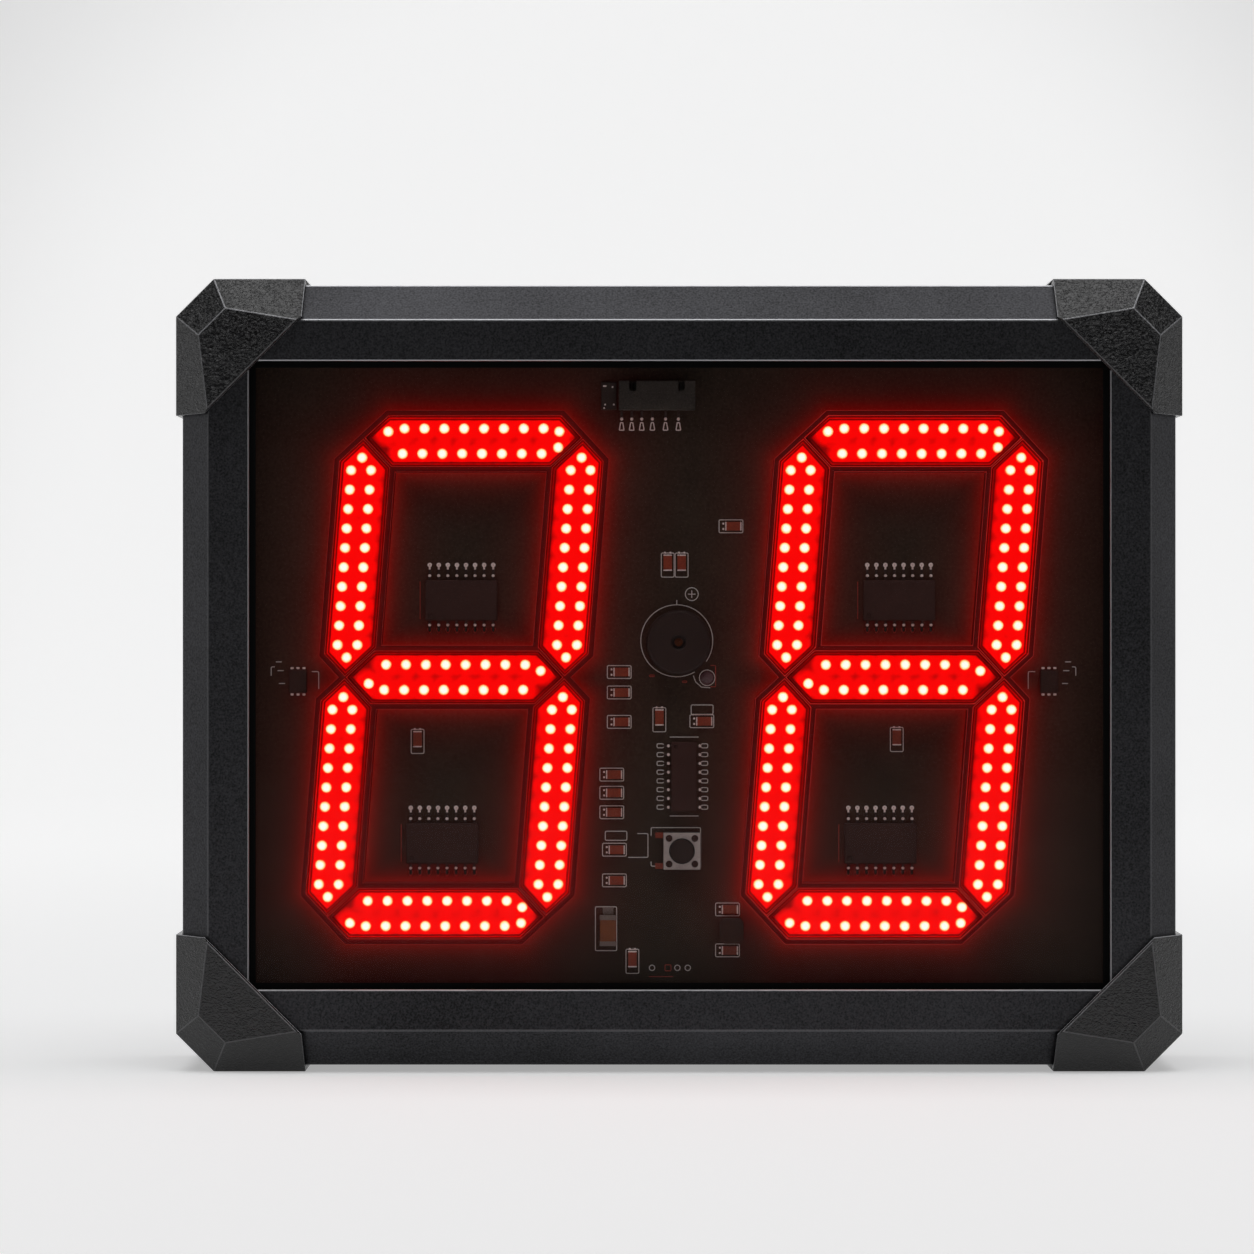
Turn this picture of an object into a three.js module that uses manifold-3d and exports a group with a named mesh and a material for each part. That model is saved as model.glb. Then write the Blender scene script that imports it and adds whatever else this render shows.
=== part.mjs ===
// Shot clock: two seven-segment digits of red LEDs on a circuit board behind a tinted window, in a
// frame of four bevelled aluminium rails with faceted plastic caps over the corners.
// Millimetres, +Z up. The front faces -Y, and the origin is at the middle of the underside.
import * as THREE from 'three';
import { ConvexGeometry } from 'three/addons/geometries/ConvexGeometry.js';
import { mergeGeometries, mergeVertices } from 'three/addons/utils/BufferGeometryUtils.js';
import Module from 'manifold-3d';

const wasm = await Module();
wasm.setup();

// Driving dimensions of the whole clock: the digits and their margins set its width and height
const caseDepth = 70;
const digitWidth = 69.8;
const digitHeight = 152.3;
const digitsBetween = 70;
const digitLeftMargin = 29.9;
const digitRightMargin = 32.9;
const digitTopMargin = 23.95;
const digitBottomMargin = 22.55;
const clearance = 0.3;
const overrun = 2;
const weldDistance = 1e-4;

// Frame rails: widths are those seen from the front
const levelBevel = 11.6;
const uprightBevel = 8.8;
const bevelDepth = 9.3;
const faceWidth = 13;
const railWall = 2;
const ribThickness = 1.5;
const lipReach = 3;
const ribReach = 2.4;
const flangeReach = 10;

// Corner caps
const capStand = 2;
const capProud = 3;
const capBackWall = 2;
const capLegAcross = 41.2;
const capLegUp = 43.6;
const capEndSetback = 0.5;
const capCornerCut = 12;
const capNose = 26.1;
const capDiagonal = 53.3;
const capFacetDepth = 11;
const capRidgeShare = 0.72;
const capEdgeBreak = 0.8;
const capBackBreak = 2;
const capCornerWall = 2.8;

// Corner keys, which slide into the chambers of two rails
const keyInset = 4.3;
const keyThickness = 8;
const keyReach = 20;

// Cap screws, countersunk
const screwShankRadius = 1.5;
const screwHeadRadius = 2.8;
const screwHeadHeight = 1.5;
const screwLength = 8;
const screwPlaceShare = 0.78;
const screwSides = 12;

// Window, its seal, the display board and the back panel
const sealThickness = 1;
const sealBand = 2;
const windowThickness = 3;
const windowToBoard = 9;
const boardThickness = 1.6;
const panelThickness = 1.5;
const flangeThickness = 2;

// Digits: their width and height run from node to node, where two segments meet, and a segment's
// edges lie at these distances from its node line
const digitSlant = 0.078;
const segmentOuter = 7.3;
const segmentInner = 9.4;
const middleHalf = 8.7;
const segmentGap = 1.1;
const pocketClearance = 0.2;
const housingWall = 2;
const housingToWindow = 0.8;
const barRecess = 1;

// LEDs of one segment
const ledRadius = 1.7;
const ledHeight = 1.3;
const ledSink = 0.4;
const ledSides = 6;
const ledPitch = 6.2;
const ledRowSpacing = 8;
const ledColumnSpacing = 6.3;
const ledRowMargin = 12.8;
const ledColumnMargin = 10.3;
const ledEndMargin = 7.7;
const ledTipMargin = 6.3;

// Outlines and solids

function polygon(points) {
  return new THREE.Shape(points.map(([x, y]) => new THREE.Vector2(x, y)));
}

function rectangle(middleX, middleZ, width, height) {
  const left = middleX - width / 2;
  const low = middleZ - height / 2;
  return [[left, low], [left + width, low], [left + width, low + height], [left, low + height]];
}

function extruded(shape, length) {
  return new THREE.ExtrudeGeometry(shape, { depth: length, steps: 1, bevelEnabled: false, curveSegments: 6 });
}

// An outline in X and Z, extruded along Y from its front face to its back face
function slab(points, front, back) {
  const geometry = extruded(polygon(points), back - front);
  geometry.rotateX(Math.PI / 2);
  return geometry.translate(0, back, 0);
}

// An outline in Y and Z, extruded along X
function slabAcross(points, left, right) {
  const geometry = extruded(polygon(points), right - left);
  const turn = new THREE.Matrix4().makeBasis(
    new THREE.Vector3(0, 1, 0),
    new THREE.Vector3(0, 0, 1),
    new THREE.Vector3(1, 0, 0),
  );
  geometry.applyMatrix4(turn);
  return geometry.translate(left, 0, 0);
}

// An outline in X and Y, extruded along Z
function slabUp(points, low, high) {
  return extruded(polygon(points), high - low).translate(0, 0, low);
}

// A profile of [radius, place along the axis] points turned about the Y axis
function turned(profile, sides) {
  return new THREE.LatheGeometry(profile.map(([radius, along]) => new THREE.Vector2(radius, along)), sides);
}

function disc(radius, front, back, sides) {
  return turned([[0, front], [radius, front], [radius, back], [0, back]], sides);
}

function welded(geometry) {
  const bare = geometry.clone();
  bare.deleteAttribute('normal');
  bare.deleteAttribute('uv');
  return mergeVertices(bare, weldDistance);
}

function solidOf(geometry) {
  const mesh = welded(geometry);
  return new wasm.Manifold(new wasm.Mesh({
    numProp: 3,
    vertProperties: new Float32Array(mesh.attributes.position.array),
    triVerts: new Uint32Array(mesh.index.array),
  }));
}

function geometryOf(solid) {
  const mesh = solid.getMesh();
  const geometry = new THREE.BufferGeometry();
  geometry.setAttribute('position', new THREE.BufferAttribute(mesh.vertProperties, 3));
  geometry.setIndex(new THREE.BufferAttribute(mesh.triVerts, 1));
  return geometry;
}

function joined(first, ...others) {
  return geometryOf(others.reduce((sum, other) => sum.add(solidOf(other)), solidOf(first)));
}

function cut(base, ...tools) {
  return geometryOf(tools.reduce((rest, tool) => rest.subtract(solidOf(tool)), solidOf(base)));
}

// The clock, with a finish of its own for each mesh
const clock = new THREE.Group();

function add(name, geometry, color, roughness, metalness) {
  const mesh = new THREE.Mesh(geometry, new THREE.MeshStandardMaterial({ color, roughness, metalness }));
  mesh.name = name;
  clock.add(mesh);
  return mesh;
}

// Depths, from the front to the back
const capFront = -caseDepth / 2;
const capBack = caseDepth / 2;
const railFront = capFront + capProud;
const railBack = capBack - capBackWall - clearance;
const bevelBack = railFront + bevelDepth;
const lipBack = railFront + railWall;
const sealFront = lipBack + clearance;
const windowFront = sealFront + sealThickness + clearance;
const windowBack = windowFront + windowThickness;
const windowRibFront = windowBack + clearance;
const boardFront = windowBack + windowToBoard;
const boardBack = boardFront + boardThickness;
const boardRibBack = boardFront - clearance;
const chamberBack = boardBack + clearance;
const flangeFront = railBack - flangeThickness;
const panelBack = flangeFront - clearance;
const panelFront = panelBack - panelThickness;
const panelRibBack = panelFront - clearance;

// The opening round the digits, the rails' widths at their lips, and the case's half sizes
const openingHalfWidth = (digitLeftMargin + 2 * digitWidth + digitsBetween + digitRightMargin) / 2;
const openingHalfHeight = (digitTopMargin + digitHeight + digitBottomMargin) / 2;
const levelLip = levelBevel + faceWidth;
const uprightLip = uprightBevel + faceWidth;
const halfWidth = openingHalfWidth + uprightLip + capStand;
const halfHeight = openingHalfHeight + levelLip + capStand;

// The line of a rail's bevel moved out by grow, from where it leaves the outer face to the front
function skinLine(bevel, grow) {
  const slope = Math.hypot(bevel, bevelDepth);
  const outerY = bevelBack - (grow * slope - grow * bevelDepth) / bevel;
  const frontIn = ((bevelDepth + grow) * bevel - grow * slope) / bevelDepth;
  return [[-grow, outerY], [frontIn, railFront - grow]];
}

// Section of a rail, as [distance in from the outer face, y], with its closed front chamber
function railSection(bevel) {
  const lip = bevel + faceWidth;
  const innerWall = lip - lipReach;
  const ribEdge = innerWall + ribReach;
  const windowRibBack = windowRibFront + ribThickness;
  const boardRibFront = boardRibBack - ribThickness;
  const section = polygon([
    ...skinLine(bevel, 0),
    [lip, railFront],
    [lip, lipBack],
    [innerWall, lipBack],
    [innerWall, windowRibFront],
    [ribEdge, windowRibFront],
    [ribEdge, windowRibBack],
    [innerWall, windowRibBack],
    [innerWall, boardRibFront],
    [ribEdge, boardRibFront],
    [ribEdge, boardRibBack],
    [innerWall, boardRibBack],
    [innerWall, chamberBack],
    [ribEdge, chamberBack],
    [ribEdge, chamberBack + railWall],
    [railWall, chamberBack + railWall],
    [railWall, panelRibBack - ribThickness],
    [flangeReach, panelRibBack - ribThickness],
    [flangeReach, panelRibBack],
    [railWall, panelRibBack],
    [railWall, flangeFront],
    [flangeReach, flangeFront],
    [flangeReach, railBack],
    [0, railBack],
  ]);
  const chamber = polygon([
    ...skinLine(bevel, -railWall),
    [innerWall - railWall, lipBack],
    [innerWall - railWall, chamberBack],
    [railWall, chamberBack],
  ]);
  section.holes.push(chamber);
  return section;
}

// A rail as it lies at the top: outer face up at z 0, its section carried along X
function railBlank(bevel, length) {
  const geometry = extruded(railSection(bevel), length);
  const turn = new THREE.Matrix4().makeBasis(
    new THREE.Vector3(0, 0, -1),
    new THREE.Vector3(0, 1, 0),
    new THREE.Vector3(1, 0, 0),
  );
  geometry.applyMatrix4(turn);
  return geometry.translate(-length / 2, 0, 0);
}

// Where the cap screws stand: height above or below the clock's middle, and depth
const screwFromMiddle = halfHeight - capLegUp * screwPlaceShare;
const screwDepth = (chamberBack + railBack) / 2;
const railColor = 0x1d1d1f;

// Top and bottom rails
const levelLength = 2 * (openingHalfWidth - clearance);
const topRail = add('top_rail', railBlank(levelBevel, levelLength), railColor, 0.5, 0.6);
topRail.position.z = 2 * halfHeight - capStand;
const bottomRail = add('bottom_rail', railBlank(levelBevel, levelLength), railColor, 0.5, 0.6);
bottomRail.position.z = capStand;
bottomRail.rotation.y = Math.PI;

// Left and right rails, drilled for the cap screws
const uprightLength = 2 * (openingHalfHeight - clearance);
const railHole = disc(
  screwShankRadius + clearance,
  -overrun,
  railWall + overrun,
  screwSides,
).rotateX(-Math.PI / 2);
function uprightRail() {
  const holes = [-1, 1].map((side) => railHole.clone().translate(side * screwFromMiddle, screwDepth, 0));
  return cut(railBlank(uprightBevel, uprightLength), ...holes);
}
const leftRail = add('left_rail', uprightRail(), railColor, 0.5, 0.6);
leftRail.position.set(capStand - halfWidth, 0, halfHeight);
leftRail.rotation.y = -Math.PI / 2;
const rightRail = add('right_rail', uprightRail(), railColor, 0.5, 0.6);
rightRail.position.set(halfWidth - capStand, 0, halfHeight);
rightRail.rotation.y = Math.PI / 2;

// The four corners: side is -1 at the left, rise is -1 at the bottom
const corners = [
  ['top_left', -1, 1],
  ['top_right', 1, 1],
  ['bottom_left', -1, -1],
  ['bottom_right', 1, -1],
];

// X of a distance in from a side's outermost face, and Z of one in from the top or bottom
function inX(side, distance) {
  return side * (halfWidth - distance);
}

function inZ(rise, distance) {
  return halfHeight + rise * (halfHeight - distance);
}

// The outer form of a cap, as [in from the side, in from the top or bottom, y] points of its facets
function capPoints() {
  const rimY = capFront + capFacetDepth;
  const levelRidge = capStand + levelBevel;
  const uprightRidge = capStand + uprightBevel;
  const noseY = rimY - capFacetDepth * capRidgeShare;
  const breakShare = 1 - capEdgeBreak / capFacetDepth;
  const faceSum = capDiagonal - capEdgeBreak;
  const backSide = capBack - capBackBreak;
  const backCut = capCornerCut + capBackBreak * Math.SQRT2;
  const levelEnd = capLegAcross - capEndSetback;
  const uprightEnd = capLegUp - capEndSetback;
  return [
    [capCornerCut, 0, rimY],
    [0, capCornerCut, rimY],
    [capLegAcross, 0, rimY],
    [0, capLegUp, rimY],
    [capNose - levelRidge * capRidgeShare, levelRidge * capRidgeShare, noseY],
    [uprightRidge * capRidgeShare, capNose - uprightRidge * capRidgeShare, noseY],
    [faceSum - levelRidge, levelRidge, capFront],
    [uprightRidge, faceSum - uprightRidge, capFront],
    [capDiagonal - levelRidge * breakShare, levelRidge * breakShare, capFront + capEdgeBreak],
    [uprightRidge * breakShare, capDiagonal - uprightRidge * breakShare, capFront + capEdgeBreak],
    [capCornerCut, 0, backSide],
    [0, capCornerCut, backSide],
    [capLegAcross, 0, backSide],
    [0, capLegUp, backSide],
    [backCut - capBackBreak, capBackBreak, capBack],
    [capBackBreak, backCut - capBackBreak, capBack],
    [levelEnd, capBackBreak, capBack],
    [capBackBreak, uprightEnd, capBack],
    [levelEnd, capDiagonal - levelEnd, capBack],
    [capDiagonal - uprightEnd, uprightEnd, capBack],
  ];
}

const levelRailEnd = capStand + uprightLip + clearance;
const uprightRailEnd = capStand + levelLip + clearance;
const pocketInset = capStand + railWall;
const pocketCut = capCornerCut + capCornerWall * Math.SQRT2;
const keyFront = chamberBack - clearance - keyThickness;
const farIn = capDiagonal + overrun;

// Outline of what a rail fills, grown by the clearance, as [distance in from the cap's face, y]
function railEnvelope(bevel) {
  const backY = railBack + clearance;
  const skin = skinLine(bevel, clearance).map(([inward, y]) => [inward + capStand, y]);
  return [...skin, [farIn, railFront - clearance], [farIn, backY], [capStand - clearance, backY]];
}

// Countersunk screw along Y, its head's face at 0 and its point at the screw's length
function screwSolid(grow) {
  return turned([
    [0, -grow],
    [screwHeadRadius + grow, -grow],
    [screwHeadRadius + grow, 0],
    [screwShankRadius + grow, screwHeadHeight],
    [screwShankRadius + grow, screwLength + grow],
    [0, screwLength + grow],
  ], screwSides);
}

function capScrewAt(side, rise, grow) {
  const geometry = screwSolid(grow).rotateZ(side * Math.PI / 2);
  const headFace = halfWidth - clearance / 2;
  return geometry.translate(side * headFace, screwDepth, halfHeight + rise * screwFromMiddle);
}

function cornerCap(side, rise) {
  const place = ([across, up, y]) => new THREE.Vector3(inX(side, across), y, inZ(rise, up));
  const form = new ConvexGeometry(capPoints().map(place));
  const level = railEnvelope(levelBevel).map(([inward, y]) => [y, inZ(rise, inward)]);
  const upright = railEnvelope(uprightBevel).map(([inward, y]) => [inX(side, inward), y]);
  const levelEnds = [inX(side, levelRailEnd - clearance), inX(side, farIn)];
  const uprightEnds = [inZ(rise, uprightRailEnd - clearance), inZ(rise, farIn)];
  const pocket = [
    [pocketInset, pocketCut - pocketInset],
    [pocketCut - pocketInset, pocketInset],
    [farIn, pocketInset],
    [farIn, farIn],
    [pocketInset, farIn],
  ].map(([across, up]) => [inX(side, across), inZ(rise, up)]);
  const paneAcross = capStand + uprightLip - lipReach;
  const paneUp = capStand + levelLip - lipReach;
  const pane = [
    [paneAcross, paneUp],
    [farIn, paneUp],
    [farIn, farIn],
    [paneAcross, farIn],
  ].map(([across, up]) => [inX(side, across), inZ(rise, up)]);
  return cut(
    form,
    slabAcross(level, Math.min(...levelEnds), Math.max(...levelEnds)),
    slabUp(upright, Math.min(...uprightEnds), Math.max(...uprightEnds)),
    slab(pocket, keyFront - clearance, railBack + clearance),
    slab(pane, lipBack, keyFront),
    capScrewAt(side, rise, clearance),
  );
}

// L-shaped keys: a leg in each rail's chamber, against the wall behind it, and a cut outer corner
function cornerKey(side, rise) {
  const outer = capStand + keyInset;
  const keyCut = pocketCut + clearance * Math.SQRT2;
  const levelInner = capStand + levelLip - lipReach - railWall - clearance;
  const uprightInner = capStand + uprightLip - lipReach - railWall - clearance;
  const levelTip = levelRailEnd + keyReach;
  const uprightTip = uprightRailEnd + keyReach;
  const outline = [
    [outer, keyCut - outer],
    [keyCut - outer, outer],
    [levelTip, outer],
    [levelTip, levelInner],
    [uprightInner, levelInner],
    [uprightInner, uprightTip],
    [outer, uprightTip],
  ].map(([across, up]) => [inX(side, across), inZ(rise, up)]);
  return slab(outline, keyFront, keyFront + keyThickness);
}

for (const [name, side, rise] of corners) {
  add(`corner_cap_${name}`, cornerCap(side, rise), 0x2a2a2c, 0.6, 0);
  add(`corner_key_${name}`, cornerKey(side, rise), 0x9a9ca0, 0.5, 0.9);
  add(`cap_screw_${name}`, capScrewAt(side, rise, 0), 0x3a3a3c, 0.4, 0.9);
}

// Window, seal and board run into the rails' grooves, a clearance short of the inner walls
const paneHalfWidth = openingHalfWidth + lipReach - clearance;
const paneHalfHeight = openingHalfHeight + lipReach - clearance;
const paneOutline = rectangle(0, halfHeight, 2 * paneHalfWidth, 2 * paneHalfHeight);
add('front_window', slab(paneOutline, windowFront, windowBack), 0x1a0d0c, 0.08, 0);

const sealInner = rectangle(
  0,
  halfHeight,
  2 * (openingHalfWidth - sealBand),
  2 * (openingHalfHeight - sealBand),
);
const sealBlank = slab(paneOutline, sealFront, sealFront + sealThickness);
const sealHole = slab(sealInner, sealFront - overrun, sealFront + sealThickness + overrun);
add('window_seal', cut(sealBlank, sealHole), 0x0a0a0a, 0.9, 0);

// Digit nodes lean with the slant: a place is [across, up] from the digit's middle
const digitMiddle = halfHeight - openingHalfHeight + digitBottomMargin + digitHeight / 2;
const leftMiddle = digitLeftMargin + digitWidth / 2 - openingHalfWidth;
const rightMiddle = openingHalfWidth - digitRightMargin - digitWidth / 2;
const digits = [['left', leftMiddle], ['right', rightMiddle]];

function digitPlace(middle, across, up) {
  return [middle + across + digitSlant * up, digitMiddle + up];
}

// Segments: letter, starting node as [across, up] shares of the half sizes, run and outer directions
const segmentShares = [
  ['a', [-1, 1], [1, 0], [0, 1]],
  ['b', [1, 1], [0, -1], [1, 0]],
  ['c', [1, 0], [0, -1], [1, 0]],
  ['d', [-1, -1], [1, 0], [0, -1]],
  ['e', [-1, 0], [0, -1], [-1, 0]],
  ['f', [-1, 1], [0, -1], [-1, 0]],
  ['g', [-1, 0], [1, 0], [0, 1]],
];

// A segment of its own axes: length from node to node, edges out and in from the node line
function segmentSizes(letter) {
  const level = 'adg'.includes(letter);
  return {
    level,
    length: level ? digitWidth : digitHeight / 2,
    outer: letter === 'g' ? middleHalf : segmentOuter,
    inner: letter === 'g' ? middleHalf : segmentInner,
  };
}

// From [along, out] of a segment to a place on the clock
function segmentPlace(middle, segment, [along, out]) {
  const [, start, run, outward] = segment;
  const across = start[0] * digitWidth / 2 + run[0] * along + outward[0] * out;
  const up = start[1] * digitHeight / 2 + run[1] * along + outward[1] * out;
  return digitPlace(middle, across, up);
}

// The pointed outline of a segment, drawn in by inset from the lines where its neighbours begin
function segmentOutline(middle, segment, inset) {
  const { length, outer, inner } = segmentSizes(segment[0]);
  const tip = inset * Math.SQRT2;
  const out = outer - inset;
  const into = inner - inset;
  return [
    [tip, 0],
    [tip + out, out],
    [length - tip - out, out],
    [length - tip, 0],
    [length - tip - into, -into],
    [tip + into, -into],
  ].map((point) => segmentPlace(middle, segment, point));
}

// LED places of a segment as [along, out]: two rows or columns, and single ones in the tips
function ledPlaces(letter) {
  const { level, length, outer, inner } = segmentSizes(letter);
  const margin = level ? ledRowMargin : ledColumnMargin;
  const spacing = level ? ledRowSpacing : ledColumnSpacing;
  const centre = level ? (outer - inner) / 2 : 0;
  const steps = Math.round((length - 2 * margin) / ledPitch);
  const step = (length - 2 * margin) / steps;
  const places = [];
  for (let index = 0; index <= steps; index += 1) {
    places.push([margin + index * step, centre + spacing / 2]);
    places.push([margin + index * step, centre - spacing / 2]);
  }
  if (!level) {
    places.push([ledTipMargin, 0]);
    places.push([length - ledTipMargin, 0]);
  } else if (letter === 'g') {
    places.push([ledEndMargin, -ledRowSpacing / 4]);
    places.push([length - ledEndMargin, ledRowSpacing / 4]);
  } else {
    places.push([ledEndMargin, ledRowSpacing / 4]);
    places.push([length - ledEndMargin, ledRowSpacing / 4]);
    places.push([length - ledEndMargin, centre - ledRowSpacing / 4]);
  }
  return places;
}

// Digit housing: one black moulding in the shape of an 8, with a pocket for each segment
const housingFront = windowBack + housingToWindow;
const seatOnBoard = boardFront - clearance;
const barInset = segmentGap / 2;
function digitHousing(middle) {
  const outlines = (inset) => segmentShares.map((segment) => segmentOutline(middle, segment, inset));
  const walls = outlines(barInset - housingWall).map((points) => slab(points, housingFront, seatOnBoard));
  const pockets = outlines(barInset - pocketClearance);
  const cutters = pockets.map((points) => slab(points, housingFront - overrun, seatOnBoard + overrun));
  return cut(joined(...walls), ...cutters);
}

// Light bar: red resin in its pocket, with a domed LED face at each place
const barFront = housingFront + barRecess;
function ledDome([x, z]) {
  const dome = turned([
    [0, -ledHeight],
    [ledRadius * Math.SQRT1_2, -ledHeight * Math.SQRT1_2],
    [ledRadius, ledSink],
    [0, ledSink],
  ], ledSides);
  return dome.translate(x, barFront, z);
}

function lightBar(middle, segment) {
  const bar = slab(segmentOutline(middle, segment, barInset), barFront, seatOnBoard);
  const domes = ledPlaces(segment[0]).map((place) => ledDome(segmentPlace(middle, segment, place)));
  return joined(bar, mergeGeometries(domes));
}

for (const [name, middle] of digits) {
  add(`digit_housing_${name}`, digitHousing(middle), 0x101011, 0.7, 0);
  for (const segment of segmentShares) {
    add(`segment_${name}_${segment[0]}`, lightBar(middle, segment), 0xff1010, 0.4, 0);
  }
}

// Places between the digits, as shares of half the room between them and of the board's half height
function between([acrossShare, upShare]) {
  const x = (leftMiddle + rightMiddle + acrossShare * digitsBetween) / 2;
  return [x, halfHeight + upShare * paneHalfHeight];
}

function boardBlock([x, z], width, height, thickness) {
  return slab(rectangle(x, z, width, height), boardFront - thickness, boardFront + boardThickness / 2);
}

// Chip resistors and capacitors, soldered to the board, lying level or standing on end: those between
// the digits, and one inside each digit as shares of the digit's half sizes
const chipLength = 5.2;
const chipWidth = 2.8;
const chipHeight = 1.2;
const levelChipShares = [
  [0.539, 0.465],
  [-0.481, 0.009],
  [-0.481, -0.055],
  [-0.481, -0.147],
  [0.273, -0.145],
  [-0.549, -0.312],
  [-0.549, -0.369],
  [-0.549, -0.43],
  [-0.525, -0.547],
  [-0.525, -0.643],
  [0.507, -0.734],
  [0.507, -0.862],
];
const uprightChipShares = [[-0.06, 0.351], [0.067, 0.351], [-0.136, -0.133], [-0.382, -0.889]];
const leftDigitChipShare = [-0.303, -0.26];
const rightDigitChipShare = [0.077, -0.252];

function inDigit(middle, [acrossShare, upShare]) {
  return digitPlace(middle, acrossShare * digitWidth / 2, upShare * digitHeight / 2);
}

const uprightChipPlaces = [
  ...uprightChipShares.map(between),
  inDigit(leftMiddle, leftDigitChipShare),
  inDigit(rightMiddle, rightDigitChipShare),
];
const boardChips = [
  ...levelChipShares.map((share) => boardBlock(between(share), chipLength, chipWidth, chipHeight)),
  ...uprightChipPlaces.map((place) => boardBlock(place, chipWidth, chipLength, chipHeight)),
];

// Small three-pin parts outside the digits, at shares of the margin in from the opening's edge
const edgePartWidth = 5;
const edgePartHeight = 7.4;
const edgePartThickness = 1.6;
const edgePartLeftShare = 0.485;
const edgePartRightShare = 0.547;
const edgePartUpShare = -0.02;
const edgePartX = [
  edgePartLeftShare * digitLeftMargin - openingHalfWidth,
  openingHalfWidth - edgePartRightShare * digitRightMargin,
];
const edgePartZ = halfHeight + edgePartUpShare * paneHalfHeight;
const boardEdgeParts = edgePartX.map((x) => (
  boardBlock([x, edgePartZ], edgePartWidth, edgePartHeight, edgePartThickness)
));

// A three-pin part close beside the connector, and a round indicator lamp under the buzzer
const connectorWidth = 24.4;
const connectorShare = [-0.159, 0.873];
const [connectorX, connectorZ] = between(connectorShare);
const sidePartHeight = 9;
const sidePartX = connectorX - (connectorWidth + edgePartWidth) / 2 - 2 * clearance;
const sidePart = boardBlock([sidePartX, connectorZ], edgePartWidth, sidePartHeight, edgePartThickness);
const lampRadius = 2.2;
const lampHeight = 1.4;
const lampSides = 12;
const lampShare = [0.3, -0.009];
const [lampX, lampZ] = between(lampShare);
const lampFoot = boardFront + boardThickness / 2;
const lamp = disc(lampRadius, boardFront - lampHeight, lampFoot, lampSides).translate(lampX, 0, lampZ);
const boardBlank = slab(paneOutline, boardFront, boardBack);
const boardParts = [...boardChips, ...boardEdgeParts, sidePart, lamp];
add('display_board', joined(boardBlank, ...boardParts), 0x17110f, 0.6, 0);

// Leads of a chip: out of the body's side at half height, down to the board and out along it
function chipLeads(bodyHalf, reach, height, width, pitch, count) {
  const thickness = width / 2;
  const bend = bodyHalf + reach / 4;
  const foot = bodyHalf + reach;
  const root = bodyHalf - thickness;
  const shoulder = seatOnBoard - height / 2;
  const profile = [
    [root, shoulder],
    [bend, shoulder],
    [bend, seatOnBoard - thickness],
    [foot, seatOnBoard - thickness],
    [foot, seatOnBoard],
    [root, seatOnBoard],
  ];
  const leads = [];
  for (let index = 0; index < count; index += 1) {
    const along = (index - (count - 1) / 2) * pitch;
    for (const side of [-1, 1]) {
      const section = profile.map(([out, y]) => [y, side * out]);
      leads.push(slabAcross(section, along - width / 2, along + width / 2));
    }
  }
  return leads;
}

function leadedChip(width, height, thickness, leads) {
  return joined(slab(rectangle(0, 0, width, height), seatOnBoard - thickness, seatOnBoard), ...leads);
}

// Driver chips, two behind each digit: heights are shares of the digit's half height
const driverWidth = 23;
const driverHeight = 12.9;
const driverThickness = 2.4;
const driverLeadReach = 5;
const driverLeadWidth = 0.8;
const driverLeadPitch = 2.9;
const leadsOnSide = 8;
const driverShares = [['upper', [0, 0.322]], ['lower', [0, -0.697]]];
for (const [digit, middle] of digits) {
  for (const [level, share] of driverShares) {
    const leads = chipLeads(
      driverHeight / 2,
      driverLeadReach,
      driverThickness,
      driverLeadWidth,
      driverLeadPitch,
      leadsOnSide,
    );
    const [x, z] = inDigit(middle, share);
    const chip = leadedChip(driverWidth, driverHeight, driverThickness, leads);
    add(`driver_chip_${digit}_${level}`, chip, 0x141414, 0.5, 0).position.set(x, 0, z);
  }
}

// Logic chip, standing on end between the digits
const logicWidth = 8.2;
const logicHeight = 22.2;
const logicThickness = 1.8;
const logicLeadReach = 3.6;
const logicLeadWidth = 0.7;
const logicLeadPitch = 2.8;
const logicShare = [0.09, -0.318];
const logicLeads = chipLeads(
  logicWidth / 2,
  logicLeadReach,
  logicThickness,
  logicLeadWidth,
  logicLeadPitch,
  leadsOnSide,
);
const logicChip = leadedChip(logicHeight, logicWidth, logicThickness, logicLeads).rotateY(Math.PI / 2);
const [logicX, logicZ] = between(logicShare);
add('logic_chip', logicChip, 0x141414, 0.5, 0).position.set(logicX, 0, logicZ);

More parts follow.
